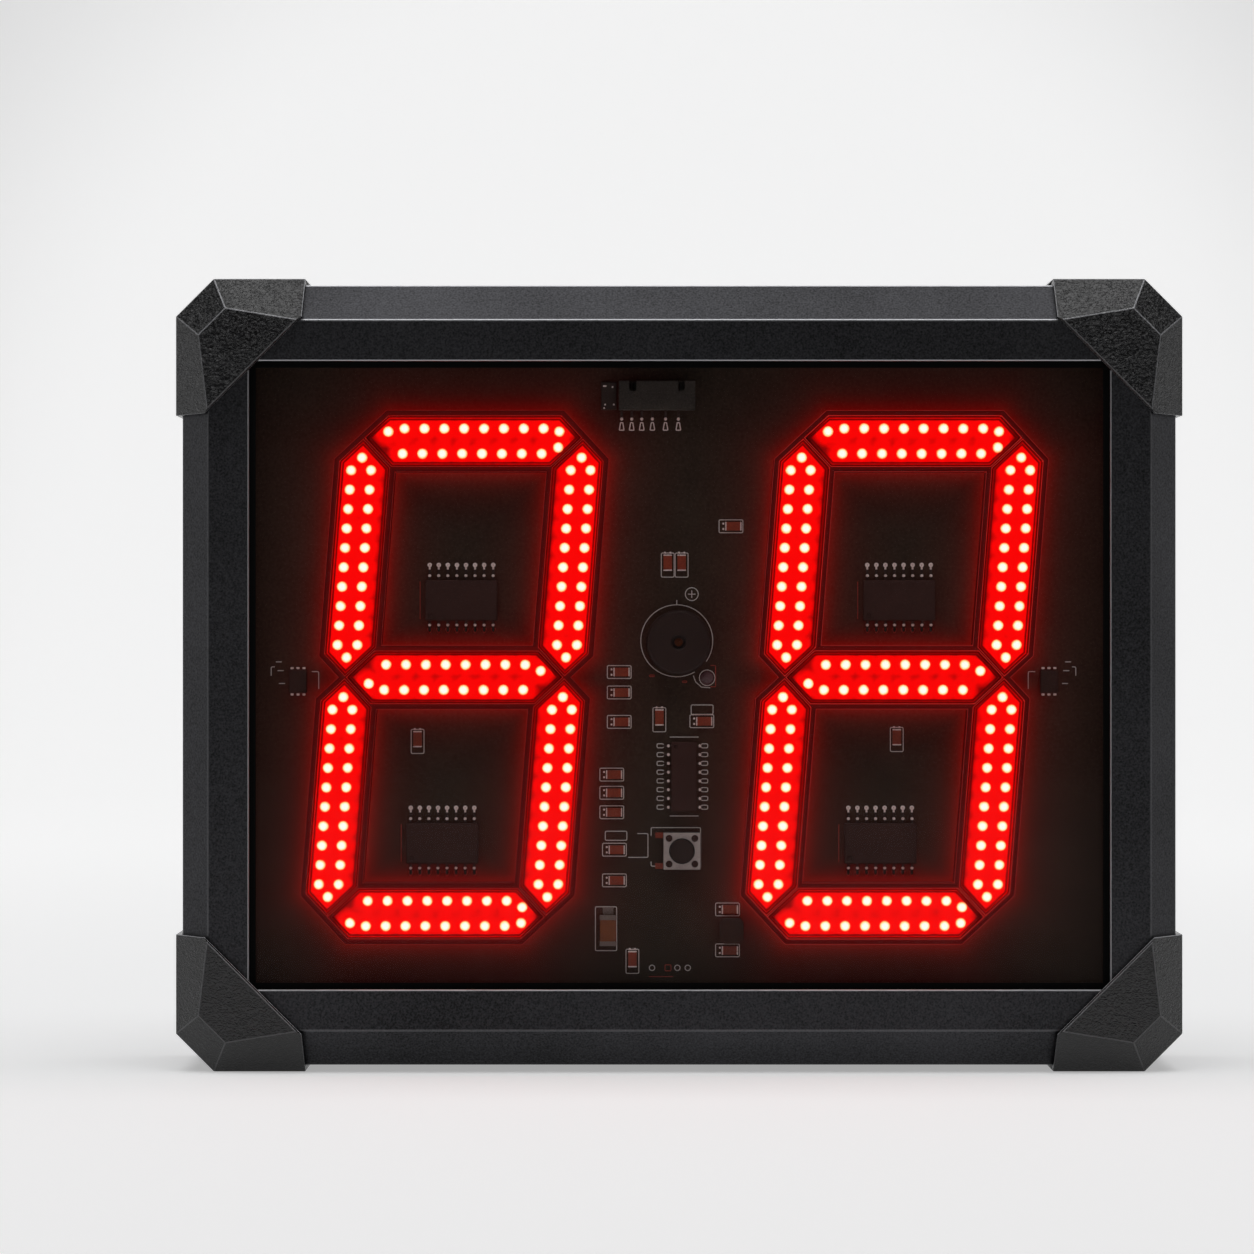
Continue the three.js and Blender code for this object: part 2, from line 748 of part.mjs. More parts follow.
// Pin connector: a shroud with its mouth at the top and two slots in its front wall, and a row of pins
// that stand in the mouth and end in tails on the board
const connectorHeight = 9.3;
const connectorThickness = 6;
const connectorWall = 1.2;
const connectorSlotWidth = 2.2;
const connectorSlotHeight = 3.3;
const connectorSlotOut = 7.75;
const connectorTail = 4;
const connectorPins = 6;
const connectorPinWidth = 0.8;
const connectorPitch = 3.5;
function pinConnector() {
  const front = seatOnBoard - connectorThickness;
  const mouthFront = front + connectorWall;
  const mouthWidth = connectorWidth - 2 * connectorWall;
  const mouthHeight = connectorHeight - 2 * connectorWall + overrun;
  const mouth = rectangle(0, connectorWall + overrun / 2, mouthWidth, mouthHeight);
  const slotMiddle = (connectorHeight - connectorSlotHeight + overrun) / 2;
  const slots = [-1, 1].map((side) => {
    const outline = rectangle(
      side * connectorSlotOut,
      slotMiddle,
      connectorSlotWidth,
      connectorSlotHeight + overrun,
    );
    return slab(outline, front - overrun, mouthFront + connectorWall);
  });
  const shell = cut(
    slab(rectangle(0, 0, connectorWidth, connectorHeight), front, seatOnBoard),
    slab(mouth, mouthFront, seatOnBoard - connectorWall),
    ...slots,
  );
  const pinFront = (front + seatOnBoard - connectorPinWidth) / 2;
  const pins = [];
  for (let index = 0; index < connectorPins; index += 1) {
    const x = (index - (connectorPins - 1) / 2) * connectorPitch;
    const post = rectangle(x, 0, connectorPinWidth, connectorHeight - 2 * connectorWall);
    pins.push(slab(post, pinFront, pinFront + connectorPinWidth));
    const tailMiddle = -(connectorHeight + connectorTail) / 2 + connectorWall / 2;
    const tail = rectangle(x, tailMiddle, connectorPinWidth, connectorTail + connectorWall);
    pins.push(slab(tail, seatOnBoard - connectorPinWidth, seatOnBoard - connectorPinWidth / 4));
  }
  return joined(shell, ...pins);
}
add('board_connector', pinConnector(), 0x18120f, 0.6, 0).position.set(connectorX, 0, connectorZ);

// Buzzer: a round can with a sound hole in its face
const buzzerRadius = 10.4;
const buzzerHeight = 5.5;
const buzzerEdge = 0.8;
const buzzerHoleRadius = 2.2;
const buzzerHoleDepth = 3;
const buzzerSides = 24;
const buzzerShare = [0.039, 0.102];
const buzzerFront = seatOnBoard - buzzerHeight;
const buzzer = turned([
  [0, buzzerFront + buzzerHoleDepth],
  [buzzerHoleRadius, buzzerFront + buzzerHoleDepth],
  [buzzerHoleRadius, buzzerFront],
  [buzzerRadius - buzzerEdge, buzzerFront],
  [buzzerRadius, buzzerFront + buzzerEdge],
  [buzzerRadius, seatOnBoard],
  [0, seatOnBoard],
], buzzerSides);
const [buzzerX, buzzerZ] = between(buzzerShare);
add('buzzer', buzzer, 0x121212, 0.6, 0).position.set(buzzerX, 0, buzzerZ);

// Push button: a square body with four rivets, and a round plunger that travels into it
const buttonSize = 12;
const buttonThickness = 4;
const buttonRivetRadius = 1.1;
const buttonRivetHeight = 0.4;
const plungerRadius = 3.8;
const plungerStand = 1.6;
const plungerTravel = 0.3;
const roundSides = 18;
const rivetSides = 8;
const buttonShare = [0.069, -0.55];
const buttonFront = seatOnBoard - buttonThickness;
const plungerSeat = seatOnBoard - buttonThickness / 4;
const buttonBlank = slab(rectangle(0, 0, buttonSize, buttonSize), buttonFront, seatOnBoard);
const buttonBore = disc(plungerRadius + clearance, buttonFront - overrun, plungerSeat, roundSides);
const rivetOffset = buttonSize / 3;
const rivets = [[-1, -1], [-1, 1], [1, -1], [1, 1]].map(([across, up]) => (
  disc(buttonRivetRadius, buttonFront - buttonRivetHeight, buttonFront + buttonRivetHeight, rivetSides)
    .translate(across * rivetOffset, 0, up * rivetOffset)
));
const [buttonX, buttonZ] = between(buttonShare);
const buttonBody = joined(cut(buttonBlank, buttonBore), ...rivets);
add('push_button_body', buttonBody, 0x5a4c4c, 0.4, 0.8).position.set(buttonX, 0, buttonZ);
const plungerBack = plungerSeat - plungerTravel - clearance;
const plunger = disc(plungerRadius, buttonFront - plungerStand, plungerBack, roundSides);
add('push_button_plunger', plunger, 0x0e0e0e, 0.5, 0).position.set(buttonX, 0, buttonZ);

// Storage capacitor with pale end caps, and a square choke
const capacitorWidth = 5.4;
const capacitorHeight = 9.8;
const capacitorThickness = 3;
const capacitorEnd = 1.4;
const capacitorEndProud = 0.2;
const capacitorShare = [-0.604, -0.799];
const [capacitorX, capacitorZ] = between(capacitorShare);
const capacitorEndMiddle = (capacitorHeight - capacitorEnd) / 2;
const capacitor = joined(
  slab(
    rectangle(0, 0, capacitorWidth, capacitorHeight - capacitorEnd),
    seatOnBoard - capacitorThickness,
    seatOnBoard,
  ),
  ...[-1, 1].map((side) => slab(
    rectangle(0, side * capacitorEndMiddle, capacitorWidth + 2 * capacitorEndProud, capacitorEnd),
    seatOnBoard - capacitorThickness - capacitorEndProud,
    seatOnBoard,
  )),
);
add('storage_capacitor', capacitor, 0x5a3020, 0.5, 0).position.set(capacitorX, 0, capacitorZ);

const chokeWidth = 7.6;
const chokeHeight = 8.2;
const chokeThickness = 4;
const chokeCut = 1.2;
const chokeShare = [0.523, -0.799];
const [chokeX, chokeZ] = between(chokeShare);
const chokeOutline = [];
for (const [side, rise] of [[1, 1], [-1, 1], [-1, -1], [1, -1]]) {
  const nearX = side * (chokeWidth / 2 - chokeCut);
  const nearZ = rise * (chokeHeight / 2 - chokeCut);
  const points = [[side * chokeWidth / 2, nearZ], [nearX, rise * chokeHeight / 2]];
  chokeOutline.push(...(side === rise ? points : points.reverse()));
}
const choke = slab(chokeOutline, seatOnBoard - chokeThickness, seatOnBoard);
add('choke', choke, 0x141414, 0.5, 0).position.set(chokeX, 0, chokeZ);

// Back panel, in the rails' rear grooves, with its corners cut off inside the caps
const keyholeSpacing = 180;
const keyholeFromTop = 48;
const keyholeRadius = 4.5;
const keyholeSlotWidth = 5;
const keyholeSlotRise = 10;
const keyholeSides = 12;
const panelOuter = capStand + railWall + clearance;
const panelCut = pocketCut + clearance * Math.SQRT2;

function keyhole(side) {
  const x = side * keyholeSpacing / 2;
  const z = 2 * halfHeight - keyholeFromTop;
  const front = panelFront - overrun;
  const back = panelBack + overrun;
  const entry = disc(keyholeRadius, front, back, keyholeSides).translate(x, 0, z);
  const slotTop = disc(keyholeSlotWidth / 2, front, back, keyholeSides).translate(x, 0, z + keyholeSlotRise);
  const slot = slab(rectangle(x, z + keyholeSlotRise / 2, keyholeSlotWidth, keyholeSlotRise), front, back);
  return joined(entry, slotTop, slot);
}

// Power switch and charge socket sizes that the panel is cut for
const switchX = 88;
const switchZ = 44;
const switchWidth = 13;
const switchHeight = 19;
const switchFlange = 1.2;
const switchFlangeThickness = 1.5;
const switchDepth = 15;
const switchWall = 1.2;
const switchEndWall = 2.9;
const rockerTilt = THREE.MathUtils.degToRad(11);
const rockerNeck = 0.7;
const rockerBelow = 3;
const rockerArcSteps = 5;
const socketX = 58;
const socketRadius = 5.4;
const socketFlangeRadius = 7.2;
const socketFlangeThickness = 1.5;
const socketLength = 14;
const socketBoreRadius = 3.2;
const socketPinRadius = 1;
const socketBoreDepth = 9;

const panelOutline = [];
for (const [side, rise] of [[1, 1], [-1, 1], [-1, -1], [1, -1]]) {
  const near = [inX(side, panelOuter), inZ(rise, panelCut - panelOuter)];
  const far = [inX(side, panelCut - panelOuter), inZ(rise, panelOuter)];
  panelOutline.push(...(side === rise ? [near, far] : [far, near]));
}
const switchOpening = rectangle(switchX, switchZ, switchWidth + 2 * clearance, switchHeight + 2 * clearance);
const panel = cut(
  slab(panelOutline, panelFront, panelBack),
  keyhole(-1),
  keyhole(1),
  slab(switchOpening, panelFront - overrun, panelBack + overrun),
  disc(socketRadius + clearance, panelFront - overrun, panelBack + overrun, roundSides)
    .translate(socketX, 0, switchZ),
);
add('back_panel', panel, 0x202022, 0.6, 0.5);

// Power switch: a box with a flange on the panel, hollow round the rocker
const flangeSeat = panelBack + clearance;
const flangeBack = flangeSeat + switchFlangeThickness;
const pivotDepth = flangeBack - rockerNeck;
const rockerEndRadius = switchHeight / 2 - switchEndWall;
const rockerRoom = rockerEndRadius + clearance;
const switchHollow = rectangle(switchX, switchZ, switchWidth - 2 * switchWall, 2 * rockerRoom);
const switchFloor = pivotDepth - rockerEndRadius - clearance;
const switchFlangeOutline = rectangle(
  switchX,
  switchZ,
  switchWidth + 2 * switchFlange,
  switchHeight + 2 * switchFlange,
);
const switchBody = cut(
  joined(
    slab(rectangle(switchX, switchZ, switchWidth, switchHeight), flangeBack - switchDepth, flangeBack),
    slab(switchFlangeOutline, flangeSeat, flangeBack),
  ),
  slab(switchHollow, switchFloor, flangeBack + overrun),
);
add('power_switch_body', switchBody, 0x151515, 0.5, 0);

// Rocker: two faces that meet in a shallow V over the pivot, and ends that are arcs round it
function rockerSection(tilt) {
  const halfAngle = Math.asin(rockerNeck * Math.cos(rockerTilt) / rockerEndRadius) + rockerTilt;
  const lowAngle = Math.asin(rockerBelow / rockerEndRadius);
  const points = [[0, rockerNeck]];
  for (const side of [1, -1]) {
    const arc = [];
    for (let step = 0; step <= rockerArcSteps; step += 1) {
      const angle = halfAngle - (halfAngle + lowAngle) * step / rockerArcSteps;
      arc.push([side * rockerEndRadius * Math.cos(angle), rockerEndRadius * Math.sin(angle)]);
    }
    points.push(...(side === 1 ? arc : arc.reverse()));
  }
  const cosine = Math.cos(tilt);
  const sine = Math.sin(tilt);
  return points.map(([z, y]) => [y * cosine - z * sine, z * cosine + y * sine]);
}
const rockerHalfWidth = switchWidth / 2 - switchWall - clearance;
const rocker = slabAcross(rockerSection(rockerTilt), -rockerHalfWidth, rockerHalfWidth);
add('power_switch_rocker', rocker, 0x181818, 0.35, 0).position.set(switchX, pivotDepth, switchZ);

// Charge socket: a barrel through the panel with a centre pin in its bore
const socketBack = flangeSeat + socketFlangeThickness;
const socket = turned([
  [0, socketBack - socketLength],
  [socketRadius, socketBack - socketLength],
  [socketRadius, flangeSeat],
  [socketFlangeRadius, flangeSeat],
  [socketFlangeRadius, socketBack],
  [socketBoreRadius, socketBack],
  [socketBoreRadius, socketBack - socketBoreDepth],
  [socketPinRadius, socketBack - socketBoreDepth],
  [socketPinRadius, socketBack - socketFlangeThickness],
  [0, socketBack - socketFlangeThickness],
], roundSides);
add('charge_socket', socket, 0x151515, 0.5, 0).position.set(socketX, 0, switchZ);

// Battery pack: four cells side by side in a shrink wrap, lying on the back panel
const cellRadius = 9.2;
const cellLength = 66;
const cellCount = 4;
const cellArcSteps = 6;
const batteryX = -40;
const batteryZ = 52;
const batteryBack = panelFront - clearance;
const batteryMiddleDepth = batteryBack - cellRadius;
const cellPitch = cellRadius * Math.sqrt(3);
function packSection() {
  const points = [];
  for (const side of [1, -1]) {
    for (let cell = 0; cell < cellCount; cell += 1) {
      const along = side * (cell - (cellCount - 1) / 2) * cellPitch;
      const first = cell === 0 ? 0 : 1 / 3;
      const last = cell === cellCount - 1 ? 1 : 2 / 3;
      for (let step = 0; step < cellArcSteps; step += 1) {
        const angle = Math.PI * (first + (last - first) * step / cellArcSteps);
        points.push([along - side * cellRadius * Math.cos(angle), side * cellRadius * Math.sin(angle)]);
      }
    }
  }
  return points;
}
const packHalfWidth = (cellCount - 1) / 2 * cellPitch + cellRadius;
const pack = slabUp(packSection(), -cellLength / 2, cellLength / 2);
add('battery_pack', pack, 0x1f3f8f, 0.4, 0).position.set(batteryX, batteryMiddleDepth, batteryZ);

// Battery bracket: a strap over the pack with a foot on the panel at each end
const strapThickness = 1.2;
const strapWidth = 20;
const strapFoot = 10;
const strapInner = packHalfWidth + clearance;
const strapOuter = strapInner + strapThickness;
const strapFootEnd = strapOuter + strapFoot;
const strapTop = batteryMiddleDepth - cellRadius - clearance;
const strapSection = [
  [-strapFootEnd, batteryBack - strapThickness],
  [-strapOuter, batteryBack - strapThickness],
  [-strapOuter, strapTop - strapThickness],
  [strapOuter, strapTop - strapThickness],
  [strapOuter, batteryBack - strapThickness],
  [strapFootEnd, batteryBack - strapThickness],
  [strapFootEnd, batteryBack],
  [strapInner, batteryBack],
  [strapInner, strapTop],
  [-strapInner, strapTop],
  [-strapInner, batteryBack],
  [-strapFootEnd, batteryBack],
];
const strap = slabUp(strapSection, -strapWidth / 2, strapWidth / 2);
add('battery_bracket', strap, 0x8c8e92, 0.45, 0.9).position.set(batteryX, 0, batteryZ);

// Supply board on four posts, above the switch, with its coil, capacitor and terminals
const supplyX = 76;
const supplyZ = 100;
const supplyWidth = 62;
const supplyHeight = 44;
const supplyStand = 6;
const postRadius = 2.5;
const postSides = 8;
const coilRadius = 7;
const coilHeight = 8;
const canRadius = 4;
const canHeight = 12;
const terminalWidth = 16;
const terminalHeight = 8;
const terminalThickness = 9;
const supplyBack = panelFront - clearance - supplyStand;
const supplyFront = supplyBack - boardThickness;
const posts = [[-1, -1], [-1, 1], [1, -1], [1, 1]].map(([across, up]) => {
  const x = across * (supplyWidth / 2 - 2 * postRadius);
  const z = up * (supplyHeight / 2 - 2 * postRadius);
  const tip = supplyFront - postRadius / 2;
  return disc(postRadius, tip, supplyBack + supplyStand, postSides).translate(x, 0, z);
});
const supplyBoard = joined(
  slab(rectangle(0, 0, supplyWidth, supplyHeight), supplyFront, supplyBack),
  ...posts,
  disc(coilRadius, supplyFront - coilHeight, supplyBack, roundSides).translate(supplyWidth / 4, 0, 0),
  disc(canRadius, supplyFront - canHeight, supplyBack, roundSides),
  slab(
    rectangle(-supplyWidth / 4, -supplyHeight / 4, terminalWidth, terminalHeight),
    supplyFront - terminalThickness,
    supplyBack,
  ),
);
add('supply_board', supplyBoard, 0x1d4a2c, 0.6, 0).position.set(supplyX, 0, supplyZ);

// Leads inside the case, each a tube along a smooth curve through its points
const leadRadius = 1.6;
const leadSides = 8;
const leadSteps = 14;
function lead(points) {
  const path = new THREE.CatmullRomCurve3(points.map(([x, y, z]) => new THREE.Vector3(x, y, z)));
  const ring = [];
  for (let index = 0; index < leadSides; index += 1) {
    const angle = 2 * Math.PI * index / leadSides;
    ring.push([leadRadius * Math.cos(angle), leadRadius * Math.sin(angle)]);
  }
  const options = { steps: leadSteps, extrudePath: path, bevelEnabled: false };
  return new THREE.ExtrudeGeometry(polygon(ring), options);
}

// Battery lead: from the pack's upper end to the supply board's terminals
const terminalFront = supplyFront - terminalThickness;
const terminalX = supplyX - supplyWidth / 4;
const terminalZ = supplyZ - supplyHeight / 4;
const packTop = batteryZ + cellLength / 2;
const leadRise = 14;
const batteryLead = lead([
  [batteryX + cellPitch, batteryMiddleDepth, packTop + clearance],
  [batteryX + cellPitch, batteryMiddleDepth, packTop + leadRise / 2],
  [batteryX + cellPitch + leadRise, batteryMiddleDepth, packTop + leadRise],
  [terminalX - supplyWidth / 2, batteryMiddleDepth, terminalZ],
  [terminalX - terminalWidth / 2 - leadRise / 2, terminalFront + terminalThickness / 2, terminalZ],
  [terminalX - terminalWidth / 2 - clearance, terminalFront + terminalThickness / 2, terminalZ],
]);
add('battery_lead', batteryLead, 0x8a1616, 0.5, 0);

// Display lead: from the terminals to the back of the display board behind its connector
const displayLead = lead([
  [terminalX, terminalFront - clearance, terminalZ],
  [terminalX, terminalFront - leadRise / 2, terminalZ],
  [terminalX - leadRise, boardBack + leadRise, terminalZ + leadRise],
  [connectorX + leadRise, boardBack + leadRise, connectorZ - leadRise],
  [connectorX, boardBack + leadRise / 2, connectorZ],
  [connectorX, boardBack + clearance, connectorZ],
]);
add('display_lead', displayLead, 0x202020, 0.5, 0);

export default clock;
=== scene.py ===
import math

import bmesh
import bpy
import numpy as np
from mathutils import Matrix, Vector
from mathutils.kdtree import KDTree


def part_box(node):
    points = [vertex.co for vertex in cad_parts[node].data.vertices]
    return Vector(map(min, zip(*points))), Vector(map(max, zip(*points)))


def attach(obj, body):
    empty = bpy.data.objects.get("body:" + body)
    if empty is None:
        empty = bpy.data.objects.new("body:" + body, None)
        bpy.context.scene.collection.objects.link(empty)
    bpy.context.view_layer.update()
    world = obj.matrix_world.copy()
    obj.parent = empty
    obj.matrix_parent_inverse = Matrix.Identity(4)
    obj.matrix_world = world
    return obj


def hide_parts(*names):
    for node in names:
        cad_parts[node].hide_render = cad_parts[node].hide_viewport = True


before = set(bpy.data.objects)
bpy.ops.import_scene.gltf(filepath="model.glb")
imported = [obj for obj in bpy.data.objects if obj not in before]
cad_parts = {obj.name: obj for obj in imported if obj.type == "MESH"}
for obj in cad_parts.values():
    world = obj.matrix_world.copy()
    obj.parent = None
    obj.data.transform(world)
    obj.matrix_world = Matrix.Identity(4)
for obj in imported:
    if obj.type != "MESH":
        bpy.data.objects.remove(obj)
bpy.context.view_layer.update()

# Rails: four black aluminium extrusions with a bevelled front skin, grooves for the window and the
# board, and a flange for the back panel. They are cut square and slide into the corner caps.
MM = 0.001
RAIL_EDGE = 0.4
# Edges are rounded where they are longer than this in millimetres and sharper than this in degrees
LONG_EDGE = 3.0
SHARP_ANGLE = 20
# Corners closer than this in millimetres are one, and so are faces that meet flatter than this
# in degrees
CORNER_MERGE = 0.06
FLAT_ANGLE = 1
# The slow drift of a surface's tone, beside its grain, and the swing of its roughness
DRIFT = 0.45
GLOSS_SWING = 0.1
# How strong the painted highlight on the edges is: on the lips of the opening, on other edges, and
# where edges face up to the overhead light
LIP_HIGHLIGHT = 0.6
OUTER_HIGHLIGHT = 0.08
UPWARD_HIGHLIGHT = 1.4


def linear(hex_colour):
    """An sRGB hex colour as linear red, green, blue and alpha."""
    shares = [int(hex_colour[place:place + 2], 16) / 255 for place in (1, 3, 5)]
    return [s / 12.92 if s <= 0.04045 else ((s + 0.055) / 1.055) ** 2.4 for s in shares] + [1.0]


def add_node(tree, kind, inputs=None, **settings):
    """Adds a node, sets its settings, and sets or links its inputs, given by name or number."""
    node = tree.nodes.new(kind)
    for name, value in settings.items():
        setattr(node, name, value)
    for key, value in (inputs or {}).items():
        if isinstance(value, bpy.types.NodeSocket):
            tree.links.new(value, node.inputs[key])
        else:
            node.inputs[key].default_value = value
    return node


def surface(name, dark, light, patch, grain, depth, roughness, metallic=0.0, ior=1.5,
            specular=0.5, wrinkle=0.0, spread=0.25, edge_highlight=None):
    """A dense surface, sizes in millimetres: a tone that drifts over patches and speckles with the
    grain, more sharply with a small spread, a raised grain, wrinkled like leather if asked, and a
    painted highlight in another tone on rounded edges."""
    material = bpy.data.materials.new(name)
    material.use_nodes = True
    tree = material.node_tree
    shader = tree.nodes["Principled BSDF"]
    place = add_node(tree, "ShaderNodeTexCoord").outputs["Object"]
    drift = add_node(tree, "ShaderNodeTexNoise", {
        "Vector": place, "Scale": 1 / (patch * MM), "Detail": 4.0}).outputs["Fac"]
    sand = add_node(tree, "ShaderNodeTexNoise", {
        "Vector": place, "Scale": 1 / (grain * MM), "Detail": 2.0,
        "Distortion": wrinkle}).outputs["Fac"]
    both = add_node(tree, "ShaderNodeMath", {0: drift, 1: DRIFT, 2: sand}, operation="MULTIPLY_ADD")
    middle = (1 + DRIFT) / 2
    share = add_node(tree, "ShaderNodeMapRange", {
        "Value": both.outputs[0], "From Min": middle - spread, "From Max": middle + spread})
    colour = add_node(tree, "ShaderNodeMix", {
        0: share.outputs[0], 6: linear(dark), 7: linear(light)}, data_type="RGBA").outputs[2]
    gloss = add_node(tree, "ShaderNodeMapRange", {
        "Value": sand, "To Min": roughness - GLOSS_SWING,
        "To Max": roughness + GLOSS_SWING}).outputs[0]
    if edge_highlight:
        edge = add_node(tree, "ShaderNodeAttribute", attribute_name="edge").outputs["Fac"]
        colour = add_node(tree, "ShaderNodeMix", {
            0: edge, 6: colour, 7: linear(edge_highlight)}, data_type="RGBA").outputs[2]
    relief = add_node(tree, "ShaderNodeBump", {"Height": sand, "Distance": depth * MM})
    tree.links.new(colour, shader.inputs["Base Color"])
    tree.links.new(gloss, shader.inputs["Roughness"])
    tree.links.new(relief.outputs[0], shader.inputs["Normal"])
    shader.inputs["Metallic"].default_value = metallic
    shader.inputs["IOR"].default_value = ior
    shader.inputs["Specular IOR Level"].default_value = specular
    return material


def mesh_piece(name, mesh, material=None):
    """A new object of that mesh, with that material, at the origin."""
    piece = bpy.data.objects.new(name, mesh)
    bpy.context.scene.collection.objects.link(piece)
    if material:
        mesh.materials.clear()
        mesh.materials.append(material)
    return piece


def mesh_of(name, form):
    """A mesh of a bmesh, which is then freed."""
    mesh = bpy.data.meshes.new(name)
    form.to_mesh(mesh)
    form.free()
    return mesh


def formed(name, form, material):
    """A new piece made of one bmesh."""
    return mesh_piece(name, mesh_of(name, form), material)


def round_edges(form, radius, angle):
    """Rounds a bmesh's long sharp edges, and marks the new faces with the edge attribute. The short
    edges of small holes stay sharp, because one of them would hold back the rounding everywhere."""
    mark = form.faces.layers.float.get("edge") or form.faces.layers.float.new("edge")
    sharp = [edge for edge in form.edges
             if len(edge.link_faces) == 2 and edge.calc_face_angle(0) > math.radians(angle)
             and edge.calc_length() > LONG_EDGE * MM]
    made = bmesh.ops.bevel(form, geom=sharp, offset=radius * MM, offset_type="OFFSET", segments=2,
                           profile=0.5, affect="EDGES", clamp_overlap=True)
    for face in made["faces"]:
        face[mark] = 1.0


def softened(name, node, radius, material, angle=SHARP_ANGLE):
    """A copy of a CAD node with whole flat faces and rounded edges."""
    form = bmesh.new()
    form.from_mesh(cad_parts[node].data)
    bmesh.ops.remove_doubles(form, verts=form.verts, dist=CORNER_MERGE * MM)
    bmesh.ops.dissolve_limit(form, angle_limit=math.radians(FLAT_ANGLE), verts=form.verts,
                             edges=form.edges)
    round_edges(form, radius, angle)
    return formed(name, form, material)


def highlight_edges(piece, share_at):
    """The painted edge highlight is strongest where edges face up, toward the overhead light, and
    the others get the share that share_at gives them.
    """
    for highlight, face in zip(piece.data.attributes["edge"].data, piece.data.polygons):
        share = share_at(face.center)
        highlight.value *= min(1.0, share + (1 - share) * UPWARD_HIGHLIGHT * max(0.0, face.normal.z))


def belongs(piece, slot, *nodes, body="clock"):
    """The piece rides on its body and stands for its CAD nodes, which it hides. Its slot is not
    used.
    """
    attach(piece, body)
    if nodes:
        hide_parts(*nodes)
    return piece


def finish_node(node, material):
    """A CAD node that stays as it is gets a finished material."""
    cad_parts[node].data.materials.clear()
    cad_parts[node].data.materials.append(material)


# Bead-blasted, then anodised black: a dull metal sheen with a sandy sparkle, and a pale painted
# highlight along the edges
anodised_black = surface("anodised_black_aluminium", "#232324", "#444447", patch=60, grain=0.6,
                         depth=0.07, roughness=0.42, metallic=1.0, edge_highlight="#cfcfd3")
opening_low, opening_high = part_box("window_seal")
for side in ("top", "bottom", "left", "right"):
    rail = softened(f"{side}_rail_extrusion", f"{side}_rail", RAIL_EDGE, anodised_black)
    highlight_edges(rail, lambda place: LIP_HIGHLIGHT if opening_low.x < place.x < opening_high.x
               and opening_low.z < place.z < opening_high.z else OUTER_HIGHLIGHT)
    belongs(rail, "rail_aluminium", f"{side}_rail")

# Corner keys: aluminium angles pressed into the ends of two rails, which square up the frame. They
# are milled from bar, and the caps hide them.
milled_aluminium = surface("milled_aluminium", "#85878a", "#a9abae", patch=12, grain=0.6,
                           depth=0.01, roughness=0.38, metallic=1.0)
CORNERS = ("top_left", "top_right", "bottom_left", "bottom_right")
for corner in CORNERS:
    finish_node(f"corner_key_{corner}", milled_aluminium)

# Corner caps: moulded black plastic in flat facets, pushed over the rails' ends. The mould gives
# them a leather grain, and their edges are rounded and carry a painted highlight, a thin line of
# light.
CAP_EDGE = 0.24
CAP_EDGE_ANGLE = 8
CAP_HIGHLIGHT = 0.2
# Injection-moulded ABS: black with a broad shine, broken up by a wrinkled grain 1.1 mm across,
# which is coarser than a real one so that it shows
grained_abs = surface("leather_grained_abs", "#010101", "#1a1a1c", patch=18, grain=1.1, depth=0.4,
                      roughness=0.21, ior=1.53, specular=0.45, wrinkle=1.6, spread=0.12,
                      edge_highlight="#b0b0b4")
for corner in CORNERS:
    cap = softened(f"cap_{corner}", f"corner_cap_{corner}", CAP_EDGE, grained_abs, CAP_EDGE_ANGLE)
    highlight_edges(cap, lambda place: CAP_HIGHLIGHT)
    belongs(cap, "cap_plastic", f"corner_cap_{corner}")

# Cap screws: countersunk steel screws with a cross recess, one through the side of each cap into
# its rail. They are turned and cold headed, then blackened.
SCREW_HEAD_RADIUS = 2.8
SCREW_SHANK_RADIUS = 1.5
SCREW_LENGTH = 8.0
RECESS_WIDTH = 0.75
RECESS_LENGTH = 3.0
RECESS_DEPTH = 2.0
# The cross stands askew by this in radians, as the screwdriver left it
CROSS_TURN = 0.4
# A radius under this in millimetres counts as none
ON_AXIS = 1e-6


def turned(profile, sides):
    """A closed bmesh turned about the Y axis from (radius, depth) points in millimetres, the first
    and the last of which lie on the axis."""
    form = bmesh.new()
    rings = []
    for radius, depth in profile:
        if radius < ON_AXIS:
            rings.append([form.verts.new((0.0, depth * MM, 0.0))] * sides)
        else:
            rings.append([form.verts.new((radius * MM * math.cos(turn * math.tau / sides),
                                          depth * MM,
                                          radius * MM * math.sin(turn * math.tau / sides)))
                          for turn in range(sides)])
    for lower, upper in zip(rings, rings[1:]):
        for turn in range(sides):
            after = (turn + 1) % sides
            corners = [lower[turn], lower[after], upper[after], upper[turn]]
            form.faces.new(list(dict.fromkeys(corners)))
    bmesh.ops.recalc_face_normals(form, faces=form.faces)
    return form


def block(width, height, depth, radius, middle=(0.0, 0.0, 0.0), segments=1):
    """A closed bmesh of a block with rounded edges, in millimetres: width along X, height along Z
    and depth along Y."""
    form = bmesh.new()
    bmesh.ops.create_cube(form, size=1.0)
    bmesh.ops.scale(form, vec=Vector((width, depth, height)) * MM, verts=form.verts)
    bmesh.ops.translate(form, vec=Vector(middle) * MM, verts=form.verts)
    if radius:
        bmesh.ops.bevel(form, geom=list(form.edges), offset=radius * MM, offset_type="OFFSET",
                        segments=segments, profile=0.5, affect="EDGES", clamp_overlap=True)
    return form


def merged(*forms):
    """One bmesh of several closed ones, side by side."""
    whole = forms[0]
    for form in forms[1:]:
        part = mesh_of("part", form)
        whole.from_mesh(part)
        bpy.data.meshes.remove(part)
    return whole


def evaluated(name, piece):
    """The plain mesh that an object's modifiers make. The object is then removed."""
    shaped = piece.evaluated_get(bpy.context.evaluated_depsgraph_get())
    mesh = bpy.data.meshes.new_from_object(shaped)
    mesh.name = name
    bpy.data.objects.remove(piece)
    return mesh


